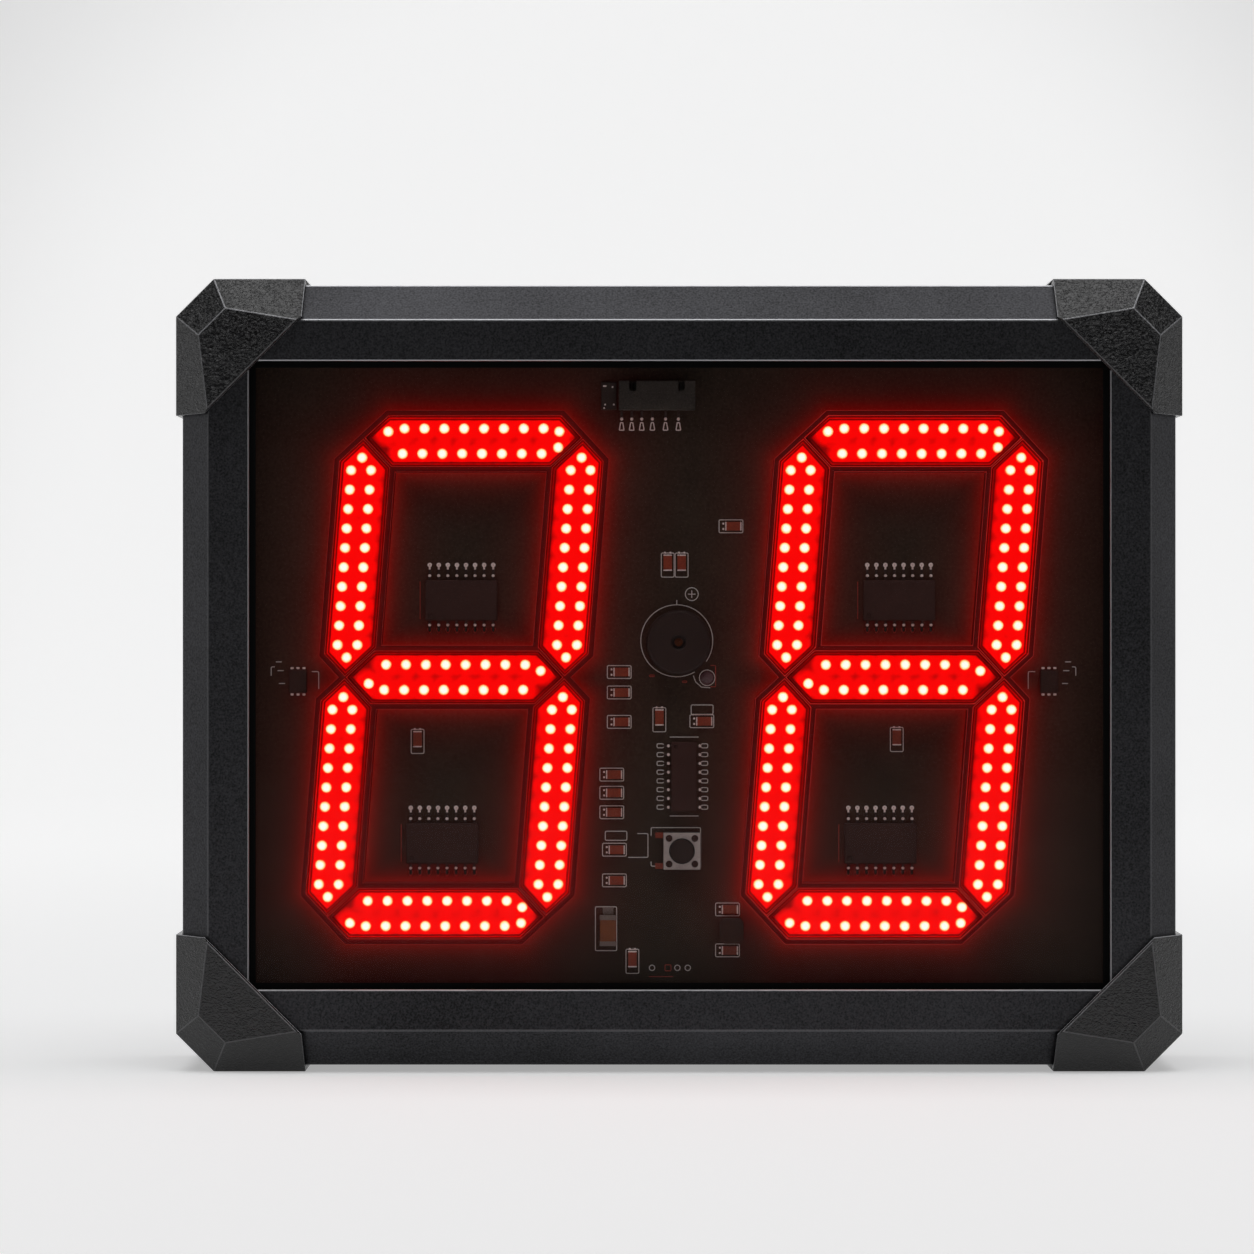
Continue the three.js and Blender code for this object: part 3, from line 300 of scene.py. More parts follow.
def carved(name, form, *tools):
    """The mesh of a bmesh with the tools, bmeshes too, cut out of it."""
    base = mesh_piece(name, mesh_of(name, form))
    cutters = [mesh_piece(f"{name}_cutter_{index}", mesh_of(f"{name}_cutter", tool))
               for index, tool in enumerate(tools)]
    for cutter in cutters:
        base.modifiers.new("cut", "BOOLEAN").object = cutter
    bpy.context.view_layer.update()
    mesh = evaluated(name, base)
    for cutter in cutters:
        bpy.data.objects.remove(cutter)
    return mesh


def run_tree(name, tree, mesh, values):
    """Runs a geometry tree on a mesh, with values by input name, and returns the plain result."""
    carrier = mesh_piece(f"{name}_places", mesh)
    modifier = carrier.modifiers.new("tree", "NODES")
    modifier.node_group = tree
    for item in tree.interface.items_tree:
        if item.in_out == "INPUT" and item.name in values:
            modifier[item.identifier] = values[item.name]
    bpy.context.view_layer.update()
    return evaluated(name, carrier)


def new_tree(name, inputs):
    """A geometry tree with places, named inputs and a result, and the outputs of its input node."""
    tree = bpy.data.node_groups.new(name, "GeometryNodeTree")
    tree.interface.new_socket("Places", in_out="INPUT", socket_type="NodeSocketGeometry")
    for label, kind in inputs:
        tree.interface.new_socket(label, in_out="INPUT", socket_type=f"NodeSocket{kind}")
    tree.interface.new_socket("Result", in_out="OUTPUT", socket_type="NodeSocketGeometry")
    return tree, add_node(tree, "NodeGroupInput").outputs


# One part set out on points: each point has its own turn, and the part keeps its attributes
set_out, given = new_tree("set_out", [("Part", "Object"), ("Finish", "Material")])
part = add_node(set_out, "GeometryNodeObjectInfo", {"Object": given["Part"]})
turn = add_node(set_out, "GeometryNodeInputNamedAttribute", {"Name": "turn"},
                data_type="FLOAT_VECTOR")
turned_by = add_node(set_out, "FunctionNodeEulerToRotation", {0: turn.outputs[0]})
copies = add_node(set_out, "GeometryNodeInstanceOnPoints", {
    "Points": given["Places"], "Instance": part.outputs["Geometry"],
    "Rotation": turned_by.outputs[0]})
real = add_node(set_out, "GeometryNodeRealizeInstances", {0: copies.outputs[0]})
finished = add_node(set_out, "GeometryNodeSetMaterial", {
    0: real.outputs[0], "Material": given["Finish"]})
add_node(set_out, "NodeGroupOutput", {0: finished.outputs[0]})


def repeated(name, part_mesh, places, material):
    """A piece made of one part at many places, each a point in metres and a turn about X, Y, Z."""
    points = bpy.data.meshes.new(f"{name}_points")
    points.from_pydata([tuple(place) for place, _ in places], [], [])
    turns = points.attributes.new("turn", "FLOAT_VECTOR", "POINT")
    turns.data.foreach_set("vector", [angle for _, turn in places for angle in turn])
    part = mesh_piece(f"{name}_part", part_mesh)
    mesh = run_tree(name, set_out, points, {"Part": part, "Finish": material})
    bpy.data.objects.remove(part)
    return mesh_piece(name, mesh, material)


# The screw's half section from its face to its tip, as (radius, depth)
SCREW_SECTION = [(0, 0.05), (2.2, 0.05), (2.6, 0.12), (SCREW_HEAD_RADIUS, 0.35),
                 (SCREW_SHANK_RADIUS, 1.5), (SCREW_SHANK_RADIUS, 7.4), (0.9, SCREW_LENGTH),
                 (0, SCREW_LENGTH)]
# Blackened steel: darker than bare steel, with a soft shine
blackened_steel = surface("blackened_steel", "#2a2a2c", "#454549", patch=2, grain=0.3, depth=0.01,
                          roughness=0.33, metallic=1.0)
screw_mesh = carved("screw", turned(SCREW_SECTION, sides=24),
                    block(RECESS_LENGTH, RECESS_WIDTH, RECESS_DEPTH, radius=0.0),
                    block(RECESS_WIDTH, RECESS_LENGTH, RECESS_DEPTH, radius=0.0))
heads = []
for corner in CORNERS:
    low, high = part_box(f"cap_screw_{corner}")
    side = 1 if low.x > 0 else -1
    head = (high.x if side > 0 else low.x, (low.y + high.y) / 2, (low.z + high.z) / 2)
    heads.append((head, (0.0, CROSS_TURN, side * math.pi / 2)))
screws = repeated("cap_screws", screw_mesh, heads, blackened_steel)
belongs(screws, "screw_steel", *[f"cap_screw_{corner}" for corner in CORNERS])

# Window: a sheet of smoked acrylic, cast, laser cut and polished at its edges, held in the rails'
# front groove. An anti-glare coat weakens its reflections.
WINDOW_EDGE = 0.3
WINDOW_TINT = 0.16
# Wiping marks: their size in millimetres, and the roughness between and on them
WIPE_SIZE = 40.0
WIPE_CLEAR = 0.05
WIPE_DULL = 0.14
# Cast acrylic: clear and glossy, tinted nearly black, with faint wiping marks
smoked_acrylic = bpy.data.materials.new("smoked_acrylic")
smoked_acrylic.use_nodes = True
acrylic_tree = smoked_acrylic.node_tree
acrylic = acrylic_tree.nodes["Principled BSDF"]
acrylic_place = add_node(acrylic_tree, "ShaderNodeTexCoord").outputs["Object"]
wipe = add_node(acrylic_tree, "ShaderNodeTexNoise", {
    "Vector": acrylic_place, "Scale": 1 / (WIPE_SIZE * MM), "Detail": 5.0})
wipe_gloss = add_node(acrylic_tree, "ShaderNodeMapRange", {
    "Value": wipe.outputs["Fac"], "To Min": WIPE_CLEAR, "To Max": WIPE_DULL})
acrylic_tree.links.new(wipe_gloss.outputs[0], acrylic.inputs["Roughness"])
acrylic.inputs["Base Color"].default_value = linear("#0a0504")
acrylic.inputs["IOR"].default_value = 1.49
acrylic.inputs["Specular IOR Level"].default_value = 0.22
acrylic.inputs["Alpha"].default_value = WINDOW_TINT
pane = softened("smoked_window", "front_window", WINDOW_EDGE, smoked_acrylic)
belongs(pane, "window_acrylic", "front_window")

# Window seal: a flat frame of black rubber, die cut, between the window and the rails' lips. It
# keeps dust out, and shows as a dark line round the opening.
SEAL_EDGE = 0.25
# Rubber: nearly black and matt, with a fine dusty grain
black_rubber = surface("black_rubber", "#020202", "#070707", patch=8, grain=0.5, depth=0.02,
                       roughness=0.85, specular=0.1)
seal = softened("rubber_seal", "window_seal", SEAL_EDGE, black_rubber)
belongs(seal, "seal_rubber", "window_seal")

# Light bars: cast red resin over the LEDs of one segment, with a rounded rim and a groove inside
# it. They are pressed into the housings' pockets, seven to a digit, and lean with it.
DIGIT_WIDTH = 69.8
DIGIT_HEIGHT = 152.3
DIGIT_SLANT = 0.078
DIGIT_MIDDLES = {"left": -71.4, "right": 68.4}
DIGIT_MIDDLE_UP = 125.3
SEGMENT_OUTER = 7.3
SEGMENT_INNER = 9.4
MIDDLE_HALF = 8.7
BAR_INSET = 0.55
BAR_FRONT = -23.6
BAR_BACK = -16.7
TILE = 1.5
# Full light up to this distance from an LED, the least share of it from that one on
LIT_NEAR = 3.1
LIT_FAR = 7.2
LEAST_LIT = 0.06
# The LEDs: their pitch, then for level and upright bars how far the rows start from the node and
# how far apart they lie, and the places of the single ones in the tips
LED_PITCH = 6.2
LEVEL_ROWS = (12.8, 8.0)
UPRIGHT_ROWS = (10.3, 6.3)
UPRIGHT_TIP = 6.3
LEVEL_TIP = (7.7, 2.0)
# Two depths closer than this, in metres, are the same
SAME_DEPTH = 1e-7
# The resin's clouds: how strong, and their size in millimetres, and the light of resin and LEDs
MOTTLE = 0.26
CLOUD = 5 / 3
LIGHT_STRENGTH = 1.35
# Each segment's start, its run and its outward side, in half digit widths and heights
SEGMENTS = {
    "a": ((-1, 1), (1, 0), (0, 1)),
    "b": ((1, 1), (0, -1), (1, 0)),
    "c": ((1, 0), (0, -1), (1, 0)),
    "d": ((-1, -1), (1, 0), (0, -1)),
    "e": ((-1, 0), (0, -1), (-1, 0)),
    "f": ((-1, 1), (0, -1), (-1, 0)),
    "g": ((-1, 0), (1, 0), (0, 1)),
}
# A bar's section from foot to face: how far in, how far behind the front, and its share of light
BAR_RINGS = [(0.0, BAR_BACK - BAR_FRONT, 0.2), (0.0, 0.3, 0.3), (0.25, 0.0, 0.5), (0.5, 0.0, 1.0),
             (0.75, 0.0, 0.5), (0.95, 0.35, 0.25), (1.4, 0.35, 1.0)]


def segment_sizes(letter):
    """Length from node to node, and how far the edges lie outwards and inwards of the node line."""
    length = DIGIT_WIDTH if letter in "adg" else DIGIT_HEIGHT / 2
    if letter == "g":
        return length, MIDDLE_HALF, MIDDLE_HALF
    return length, SEGMENT_OUTER, SEGMENT_INNER


def on_segment(digit, letter, along, out, depth):
    """A place given along and outwards on a segment, and by its depth, in metres."""
    start, run, outward = SEGMENTS[letter]
    across = start[0] * DIGIT_WIDTH / 2 + run[0] * along + outward[0] * out
    up = start[1] * DIGIT_HEIGHT / 2 + run[1] * along + outward[1] * out
    x = DIGIT_MIDDLES[digit] + across + DIGIT_SLANT * up
    return Vector((x, depth, DIGIT_MIDDLE_UP + up)) * MM


def led_places(letter):
    """The LEDs of a segment: two rows or columns of them, and single ones in the tips."""
    length, outer, inner = segment_sizes(letter)
    level = letter in "adg"
    margin, spacing = LEVEL_ROWS if level else UPRIGHT_ROWS
    centre = (outer - inner) / 2 if level else 0.0
    steps = round((length - 2 * margin) / LED_PITCH)
    pitch = (length - 2 * margin) / steps
    places = [(margin + index * pitch, centre + side * spacing / 2)
              for index in range(steps + 1) for side in (1, -1)]
    if not level:
        return places + [(UPRIGHT_TIP, 0.0), (length - UPRIGHT_TIP, 0.0)]
    tip, aside = LEVEL_TIP
    if letter == "g":
        return places + [(tip, -aside), (length - tip, aside)]
    return places + [(tip, aside), (length - tip, aside), (length - tip, centre - aside)]


def segment_outline(letter, inset):
    """The pointed outline of a segment as (along, out), drawn in from its nominal lines."""
    length, outer, inner = segment_sizes(letter)
    tip = inset * math.sqrt(2)
    out = outer - inset
    into = inner - inset
    return [(tip, 0), (tip + out, out), (length - tip - out, out), (length - tip, 0),
            (length - tip - into, -into), (tip + into, -into)]


def light_bar(digit, letter, material):
    """One bar: its rings, and a face in small tiles that carry each point's share of the light."""
    form = bmesh.new()
    share = form.verts.layers.float.new("lit")
    rings = []
    for inset, behind, light in BAR_RINGS:
        rings.append([form.verts.new(on_segment(digit, letter, along, out, BAR_FRONT + behind))
                      for along, out in segment_outline(letter, BAR_INSET + inset)])
        for vertex in rings[-1]:
            vertex[share] = light
    count = len(rings[0])
    for lower, upper in zip(rings, rings[1:]):
        for index in range(count):
            following = (index + 1) % count
            form.faces.new((lower[index], lower[following], upper[following], upper[index]))
    form.faces.new(rings[0])
    form.faces.new(rings[-1])
    length, outer, inner = segment_sizes(letter)
    along_step = on_segment(digit, letter, 1, 0, 0) - on_segment(digit, letter, 0, 0, 0)
    out_step = on_segment(digit, letter, 0, 1, 0) - on_segment(digit, letter, 0, 0, 0)
    face_depth = rings[-1][0].co.y
    cuts = [(along, 0, out_step) for along in np.arange(TILE, length, TILE)]
    cuts += [(0, out, along_step) for out in np.arange(-inner, outer, TILE)]
    for along, out, step in cuts:
        level = [face for face in form.faces
                 if all(abs(vertex.co.y - face_depth) < SAME_DEPTH for vertex in face.verts)]
        parts = level + list({edge for face in level for edge in face.edges})
        parts += list({vertex for face in level for vertex in face.verts})
        bmesh.ops.bisect_plane(form, geom=parts, dist=SAME_DEPTH,
                               plane_no=step.cross(Vector((0, 1, 0))),
                               plane_co=on_segment(digit, letter, along, out, 0))
    bmesh.ops.recalc_face_normals(form, faces=form.faces)
    leds = [on_segment(digit, letter, along, out, 0) for along, out in led_places(letter)]
    for vertex in form.verts:
        nearest = min(math.hypot(vertex.co.x - led.x, vertex.co.z - led.z) for led in leds) / MM
        light = 1.0 - (nearest - LIT_NEAR) / (LIT_FAR - LIT_NEAR)
        vertex[share] *= max(LEAST_LIT, min(1.0, light))
    return formed(f"bar_{digit}_{letter}", form, material)


def glowing(name, stops, base, roughness, specular):
    """Resin that glows in the colours of a ramp, by the share of light in the lit attribute."""
    material = bpy.data.materials.new(name)
    material.use_nodes = True
    tree = material.node_tree
    shader = tree.nodes["Principled BSDF"]
    share = add_node(tree, "ShaderNodeAttribute", attribute_name="lit").outputs["Fac"]
    place = add_node(tree, "ShaderNodeTexCoord").outputs["Object"]
    cloud = add_node(tree, "ShaderNodeTexNoise", {
        "Vector": place, "Scale": 1 / (CLOUD * MM), "Detail": 3.0}).outputs["Fac"]
    mottled = add_node(tree, "ShaderNodeMath", {0: cloud, 1: MOTTLE, 2: share},
                       operation="MULTIPLY_ADD")
    level = add_node(tree, "ShaderNodeMath", {0: mottled.outputs[0], 1: MOTTLE / 2},
                     operation="SUBTRACT")
    ramp = add_node(tree, "ShaderNodeValToRGB", {"Fac": level.outputs[0]})
    points = ramp.color_ramp.elements
    points[0].position, points[0].color = stops[0][0], linear(stops[0][1])
    points[1].position, points[1].color = stops[-1][0], linear(stops[-1][1])
    for position, colour in stops[1:-1]:
        points.new(position).color = linear(colour)
    tree.links.new(ramp.outputs["Color"], shader.inputs["Emission Color"])
    shader.inputs["Emission Strength"].default_value = LIGHT_STRENGTH
    shader.inputs["Base Color"].default_value = linear(base)
    shader.inputs["Roughness"].default_value = roughness
    shader.inputs["Specular IOR Level"].default_value = specular
    return material


# Cast epoxy, full of red dye: it glows evenly over the LEDs, and is mottled and dark at the tips
lit_resin = glowing("cast_red_resin", [(0.0, "#1c0000"), (0.45, "#8c0101"), (0.85, "#ff0101")],
                    base="#260202", roughness=0.4, specular=0.1)
for digit in DIGIT_MIDDLES:
    for letter in SEGMENTS:
        belongs(light_bar(digit, letter, lit_resin), "segment_resin", f"segment_{digit}_{letter}")

# LED domes: clear epoxy lenses moulded over the chips, which stand out of the resin. They burn out
# to white in the middle, with a yellow rim and a thin orange one where the resin starts.
LED_RADIUS = 1.75
LED_RISE = 1.25
LED_FOOT = 0.35
LED_SUNK = 0.1
# A dome's rings: share of its radius, share of its rise
DOME_RINGS = [(1.0, 0.0), (1.0, 0.3), (0.93, 0.55), (0.8, 0.75), (0.55, 0.92), (0.0, 1.0)]
dome = turned([(0, LED_FOOT)] + [(LED_RADIUS * spread, LED_FOOT - LED_RISE * rise)
                                 for spread, rise in DOME_RINGS], sides=12)
dome_light = dome.verts.layers.float.new("lit")
for vertex in dome.verts:
    vertex[dome_light] = 1.0 - math.hypot(vertex.co.x, vertex.co.z) / (LED_RADIUS * MM)
dome_mesh = mesh_of("dome", dome)
dome_mesh.shade_smooth()
# Clear epoxy over a lit chip: white, and yellow to orange at the rim
lit_led = glowing("clear_led_epoxy", [(0.0, "#ff2000"), (0.1, "#ff9a50"), (0.24, "#ffe8a4"),
                                      (0.5, "#fffff4")],
                  base="#80705a", roughness=0.25, specular=0.2)
for digit in DIGIT_MIDDLES:
    spots = [(on_segment(digit, letter, along, out, BAR_FRONT + LED_SUNK), (0.0, 0.0, 0.0))
             for letter in SEGMENTS for along, out in led_places(letter)]
    belongs(repeated(f"leds_{digit}", dome_mesh.copy(), spots, lit_led), "segment_resin")

# Digit housings: one black moulding each, shaped like an 8, with a pocket for every light bar. The
# red light that leaks out of the pockets and fades over the walls beside them is painted on as a
# glow.
HOUSING_EDGE = 0.3
# The painted glow of the leaked light: its strength beside a bar, the length in millimetres over
# which it fades, how much stronger it shows on edges, and how fine the bars' outlines are followed
WALL_GLOW = 0.14
WALL_FADE = 2.0
EDGE_GAIN = 4.0
OUTLINE_STEP = 0.5


def bar_edges(step):
    """A search tree of points along all the bars' outlines, a step in millimetres apart."""
    points = []
    for digit in DIGIT_MIDDLES:
        for letter in SEGMENTS:
            outline = [on_segment(digit, letter, along, out, 0)
                       for along, out in segment_outline(letter, BAR_INSET)]
            for start, end in zip(outline, outline[1:] + outline[:1]):
                steps = max(1, round((end - start).length / (step * MM)))
                points += [start.lerp(end, index / steps) for index in range(steps)]
    tree = KDTree(len(points))
    for index, point in enumerate(points):
        tree.insert(point, index)
    tree.balance()
    return tree


def lit_by_bars(mesh, *leaks):
    """Gives each point its glow: for every leak, a strength and the length in millimetres over
    which it fades."""
    glow = mesh.attributes.new("glow", "FLOAT", "POINT")
    for index, vertex in enumerate(mesh.vertices):
        away = edge_tree.find((vertex.co.x, 0.0, vertex.co.z))[2] / MM
        glow.data[index].value = sum(strength * math.exp(-away / fade) for strength, fade in leaks)


def glow_red(material):
    """The bars' red light painted on the surface as a glow, by its glow attribute, and more along
    its edges.
    """
    tree = material.node_tree
    shader = tree.nodes["Principled BSDF"]
    glow = add_node(tree, "ShaderNodeAttribute", attribute_name="glow").outputs["Fac"]
    edge = add_node(tree, "ShaderNodeAttribute", attribute_name="edge").outputs["Fac"]
    gain = add_node(tree, "ShaderNodeMath", {0: edge, 1: EDGE_GAIN, 2: 1.0},
                    operation="MULTIPLY_ADD")
    strength = add_node(tree, "ShaderNodeMath", {0: glow, 1: gain.outputs[0]}, operation="MULTIPLY")
    tree.links.new(strength.outputs[0], shader.inputs["Emission Strength"])
    shader.inputs["Emission Color"].default_value = linear("#ff120c")


edge_tree = bar_edges(OUTLINE_STEP)
# Glass-filled PBT: black and matt, with a fine spark-eroded texture, and a painted red highlight on
# its edges
matt_black_pbt = surface("matt_black_pbt", "#050303", "#0e0807", patch=10, grain=0.5, depth=0.03,
                         roughness=0.6, specular=0.15, edge_highlight="#8a4a45")
glow_red(matt_black_pbt)
for digit in DIGIT_MIDDLES:
    housing = softened(f"housing_{digit}", f"digit_housing_{digit}", HOUSING_EDGE, matt_black_pbt)
    lit_by_bars(housing.data, (WALL_GLOW, WALL_FADE))
    belongs(housing, "housing_plastic", f"digit_housing_{digit}")

# Display board: a sheet of glass epoxy with black solder mask, held in the rails' rear groove. The
# bars' light on it is painted as a dark red glow round the digits.
BOARD_FRONT = -16.4
BOARD_BACK = -14.8
BOARD_TILE = 2.4
# Painted light on the board, close to the bars and far around them: its strength and its fading
# length
BOARD_GLOW = (0.3, 2.4)
BOARD_HAZE = (0.05, 9.0)


def lit_board():
    """The board's blank, with a front in small tiles that carry the painted glow."""
    low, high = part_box("display_board")
    columns = round((high.x - low.x) / (BOARD_TILE * MM))
    rows = round((high.z - low.z) / (BOARD_TILE * MM))
    form = bmesh.new()
    front = [[form.verts.new((low.x + (high.x - low.x) * column / columns, BOARD_FRONT * MM,
                              low.z + (high.z - low.z) * row / rows)) for row in range(rows + 1)]
             for column in range(columns + 1)]
    for near, far in zip(front, front[1:]):
        for row in range(rows):
            form.faces.new((near[row], far[row], far[row + 1], near[row + 1]))
    rim = [line[0] for line in front] + front[-1][1:]
    rim += [line[-1] for line in front[-2::-1]] + front[0][-2:0:-1]
    foot = [form.verts.new((vertex.co.x, BOARD_BACK * MM, vertex.co.z)) for vertex in rim]
    for index in range(len(rim)):
        following = (index + 1) % len(rim)
        form.faces.new((rim[index], rim[following], foot[following], foot[index]))
    form.faces.new(foot)
    bmesh.ops.recalc_face_normals(form, faces=form.faces)
    return mesh_of("board", form)


# Solder mask over copper: dark brown-black and nearly matt, with a faint weave of the glass below
black_laminate = surface("masked_glass_epoxy", "#392f26", "#4d4035", patch=14, grain=0.9,
                         depth=0.01, roughness=0.6, specular=0.15)
glow_red(black_laminate)
board = mesh_piece("display_board_blank", lit_board(), black_laminate)
lit_by_bars(board.data, BOARD_GLOW, BOARD_HAZE)
belongs(board, "board_laminate", "display_board")

# Print on the board: the outlines and marks of its parts, screen printed in a pale ink and in a red
# one. The lines lie a few hundredths of a millimetre proud of the mask.
PRINT_LINE = 0.27
PRINT_THICK = 0.05
# The weak glow that stands for the bars' light on the ink
INK_GLINT = 0.045
# Arcs are drawn in steps of at most this many degrees, or of this many over their radius
ARC_STEP = 18
LARGE_ARC_STEP = 90
strip_tree, given = new_tree("sweep_strip", [
    ("Across facing", "Float"), ("Along facing", "Float"), ("Corner", "Float"),
    ("Facing", "Vector"), ("Finish", "Material")])
paths = add_node(strip_tree, "GeometryNodeMeshToCurve", {"Mesh": given["Places"]})
rounded = add_node(strip_tree, "GeometryNodeFilletCurve", {
    "Curve": paths.outputs[0], "Count": 3, "Radius": given["Corner"],
    "Limit Radius": True}, mode="POLY")
faced = add_node(strip_tree, "GeometryNodeSetCurveNormal", {
    "Curve": rounded.outputs[0], "Normal": given["Facing"]}, mode="FREE")
section = add_node(strip_tree, "GeometryNodeCurvePrimitiveQuadrilateral", {
    "Width": given["Along facing"], "Height": given["Across facing"]})
strip = add_node(strip_tree, "GeometryNodeCurveToMesh", {
    "Curve": faced.outputs[0], "Profile Curve": section.outputs[0], "Fill Caps": True})
real_strip = add_node(strip_tree, "GeometryNodeRealizeInstances", {0: strip.outputs[0]})
strip_done = add_node(strip_tree, "GeometryNodeSetMaterial", {
    0: real_strip.outputs[0], "Material": given["Finish"]})
add_node(strip_tree, "NodeGroupOutput", {0: strip_done.outputs[0]})


def swept(name, paths, across, along, corner, facing, material):
    """Strips of one section along paths, each a list of points in millimetres and whether it
    closes. A strip is along thick in the facing direction and across wide, with rounded corners."""
    points, edges = [], []
    for path, closed in paths:
        first = len(points)
        points += [Vector(point) * MM for point in path]
        edges += [(index, index + 1) for index in range(first, len(points) - 1)]
        if closed:
            edges.append((len(points) - 1, first))
    mesh = bpy.data.meshes.new(f"{name}_paths")
    mesh.from_pydata(points, edges, [])
    values = {"Across facing": across * MM, "Along facing": along * MM, "Corner": corner * MM,
              "Facing": facing, "Finish": material}
    form = bmesh.new()
    strip_mesh = run_tree(name, strip_tree, mesh, values)
    form.from_mesh(strip_mesh)
    bmesh.ops.recalc_face_normals(form, faces=form.faces)
    form.to_mesh(strip_mesh)
    form.free()
    return mesh_piece(name, strip_mesh, material)


def on_board(*points):
    """Points given as (x, z) in millimetres, laid on the board's face."""
    return [(x, BOARD_FRONT, z) for x, z in points]


def outline(x, z, width, height):
    """A closed rectangle round (x, z)."""
    return on_board((x - width / 2, z - height / 2), (x + width / 2, z - height / 2),
                    (x + width / 2, z + height / 2), (x - width / 2, z + height / 2)), True


def arc(x, z, radius, start=0, end=360):
    """Part of a circle round (x, z), from one angle to another in degrees."""
    sweep = end - start
    steps = max(round(abs(sweep) / ARC_STEP), round(abs(sweep) * radius / LARGE_ARC_STEP))
    closed = abs(sweep) == 360
    turns = [math.radians(start + sweep * index / steps) for index in range(steps + (not closed))]
    ring = [(x + radius * math.cos(turn), z + radius * math.sin(turn)) for turn in turns]
    return on_board(*ring), closed


def line(*points):
    """An open line through points given as (x, z)."""
    return on_board(*points), False


def set_glint(material, strength):
    """A faint pale pink glow, a painted reflection of the bars' light that a pale spot throws back.
    """
    shader = material.node_tree.nodes["Principled BSDF"]
    shader.inputs["Emission Color"].default_value = linear("#ffc0b4")
    shader.inputs["Emission Strength"].default_value = strength


# Places on the board as (x, z): of the small chips, level and upright, and of the other parts
LEVEL_CHIPS = [(17.37, 173.48), (-18.34, 126.92), (-18.34, 120.38), (-18.34, 110.99),
               (8.06, 111.20), (-20.72, 94.14), (-20.72, 88.33), (-20.72, 82.10),
               (-19.88, 70.15), (-19.88, 60.35), (16.25, 51.06), (16.25, 37.99)]
UPRIGHT_CHIPS = [(-3.6, 161.84), (0.85, 161.84), (-6.26, 112.42), (-14.87, 35.23),
                 (-83.52, 105.50), (69.59, 106.11)]
DRIVERS = [(-69.49, 149.82), (70.31, 149.82), (-75.54, 72.22), (64.26, 72.22)]
LOGIC = (1.65, 93.53)
CONNECTOR = (-7.07, 215.13)
CONNECTOR_TAILS = (-18.3, -15.1, -11.9, -8.5, -4.3, -0.2)
SIDE_PART = (-22.37, 215.13)
EDGE_PARTS = [(-121.70, 123.96), (118.20, 123.96)]
BUZZER = (-0.135, 136.41)
LAMP = (9.0, 125.08)
BUTTON = (0.915, 69.85)
CAPACITOR = (-22.64, 44.42)
# The chips have eight leads a side, at these steps from the middle of it and at these pitches
LEAD_STEPS = np.arange(-3.5, 4)
DRIVER_PITCH = 2.9
LOGIC_PITCH = 2.8
# The frames printed round the level and the upright small chips, and how far they are set off
LEVEL_FRAME = (7.6, 4.1)
UPRIGHT_FRAME = (4.1, 7.7)
FRAME_SHIFT = 0.75
# The lines above and below the logic chip: half their length, and how far from its middle
LOGIC_LINE = (4.6, 12.6)
# Screen print: pale ink, slightly broken up by the mask's texture
pale_ink = surface("pale_epoxy_ink", "#f0e0d8", "#ffffff", patch=3, grain=0.4, depth=0.01,
                   roughness=0.6)
set_glint(pale_ink, INK_GLINT)
# Round the small chips, the capacitor and two places that were left empty
pale_lines = [outline(x - FRAME_SHIFT, z, *LEVEL_FRAME) for x, z in LEVEL_CHIPS]
pale_lines += [outline(x, z - FRAME_SHIFT, *UPRIGHT_FRAME) for x, z in UPRIGHT_CHIPS]
pale_lines += [outline(7.4, 114.9, 7.0, 3.0), outline(-20.1, 74.6, 6.9, 2.9)]
pale_lines += [outline(-23.3, 44.9, 6.8, 14.0)]
# Above and below the logic chip
reach, away = LOGIC_LINE
pale_lines += [line((LOGIC[0] - reach, LOGIC[1] + rise), (LOGIC[0] + reach, LOGIC[1] + rise))
               for rise in (away, -away)]
# Round the push button
pale_lines += [line((-8.9, 74.6), (-8.9, 77.2), (6.9, 77.2), (6.9, 64.4)),
               line((-8.9, 66.4), (-8.9, 64.9), (-6.2, 64.9)),
               line((-13.3, 75.3), (-9.9, 75.3), (-9.9, 67.7), (-16.2, 67.7))]
# At the logic chip's leads, and three rings at the foot of the board
pale_lines += [outline(x, LOGIC[1] + step * LOGIC_PITCH, 2.1, 1.3)
               for x in (-5.95, 8.15) for step in LEAD_STEPS]
pale_lines += [arc(x, 32.4, 0.87) for x in (-8.6, -0.5, 2.8)]
# Round the buzzer, with its plus sign in a ring, and round the lamp
pale_lines += [arc(-0.7, 136.9, 11.5, -35, 300), line((-0.7, 148.4), (-0.7, 149.9)),
               arc(4.1, 151.8, 2.07), line((2.9, 151.8), (5.3, 151.8)),
               line((4.1, 150.6), (4.1, 153.0)), arc(*LAMP, 2.5),
               line((4.6, 125.8), (5.3, 123.8), (7.2, 122.1), (10.0, 121.9))]
# Beside the parts at the board's edges
for (x, z), side in zip(EDGE_PARTS, (-1, 1)):
    pale_lines += [
        line((x - side * 4.4, z + 3.1), (x - side * 6.6, z + 3.1), (x - side * 6.6, z - 2.4)),
        line((x + side * 7.4, z + 4.6), (x + side * 8.6, z + 4.6), (x + side * 8.6, z + 1.8))]
    pale_lines += [line((x + side * start, z + up), (x + side * (start + 1.9), z + up))
                   for start, up in ((5.2, 6.2), (4.6, 3.4), (4.2, -0.7))]
belongs(swept("board_print", pale_lines, PRINT_LINE, PRINT_THICK, corner=0.4, facing=(0, 1, 0),
              material=pale_ink), "board_laminate")
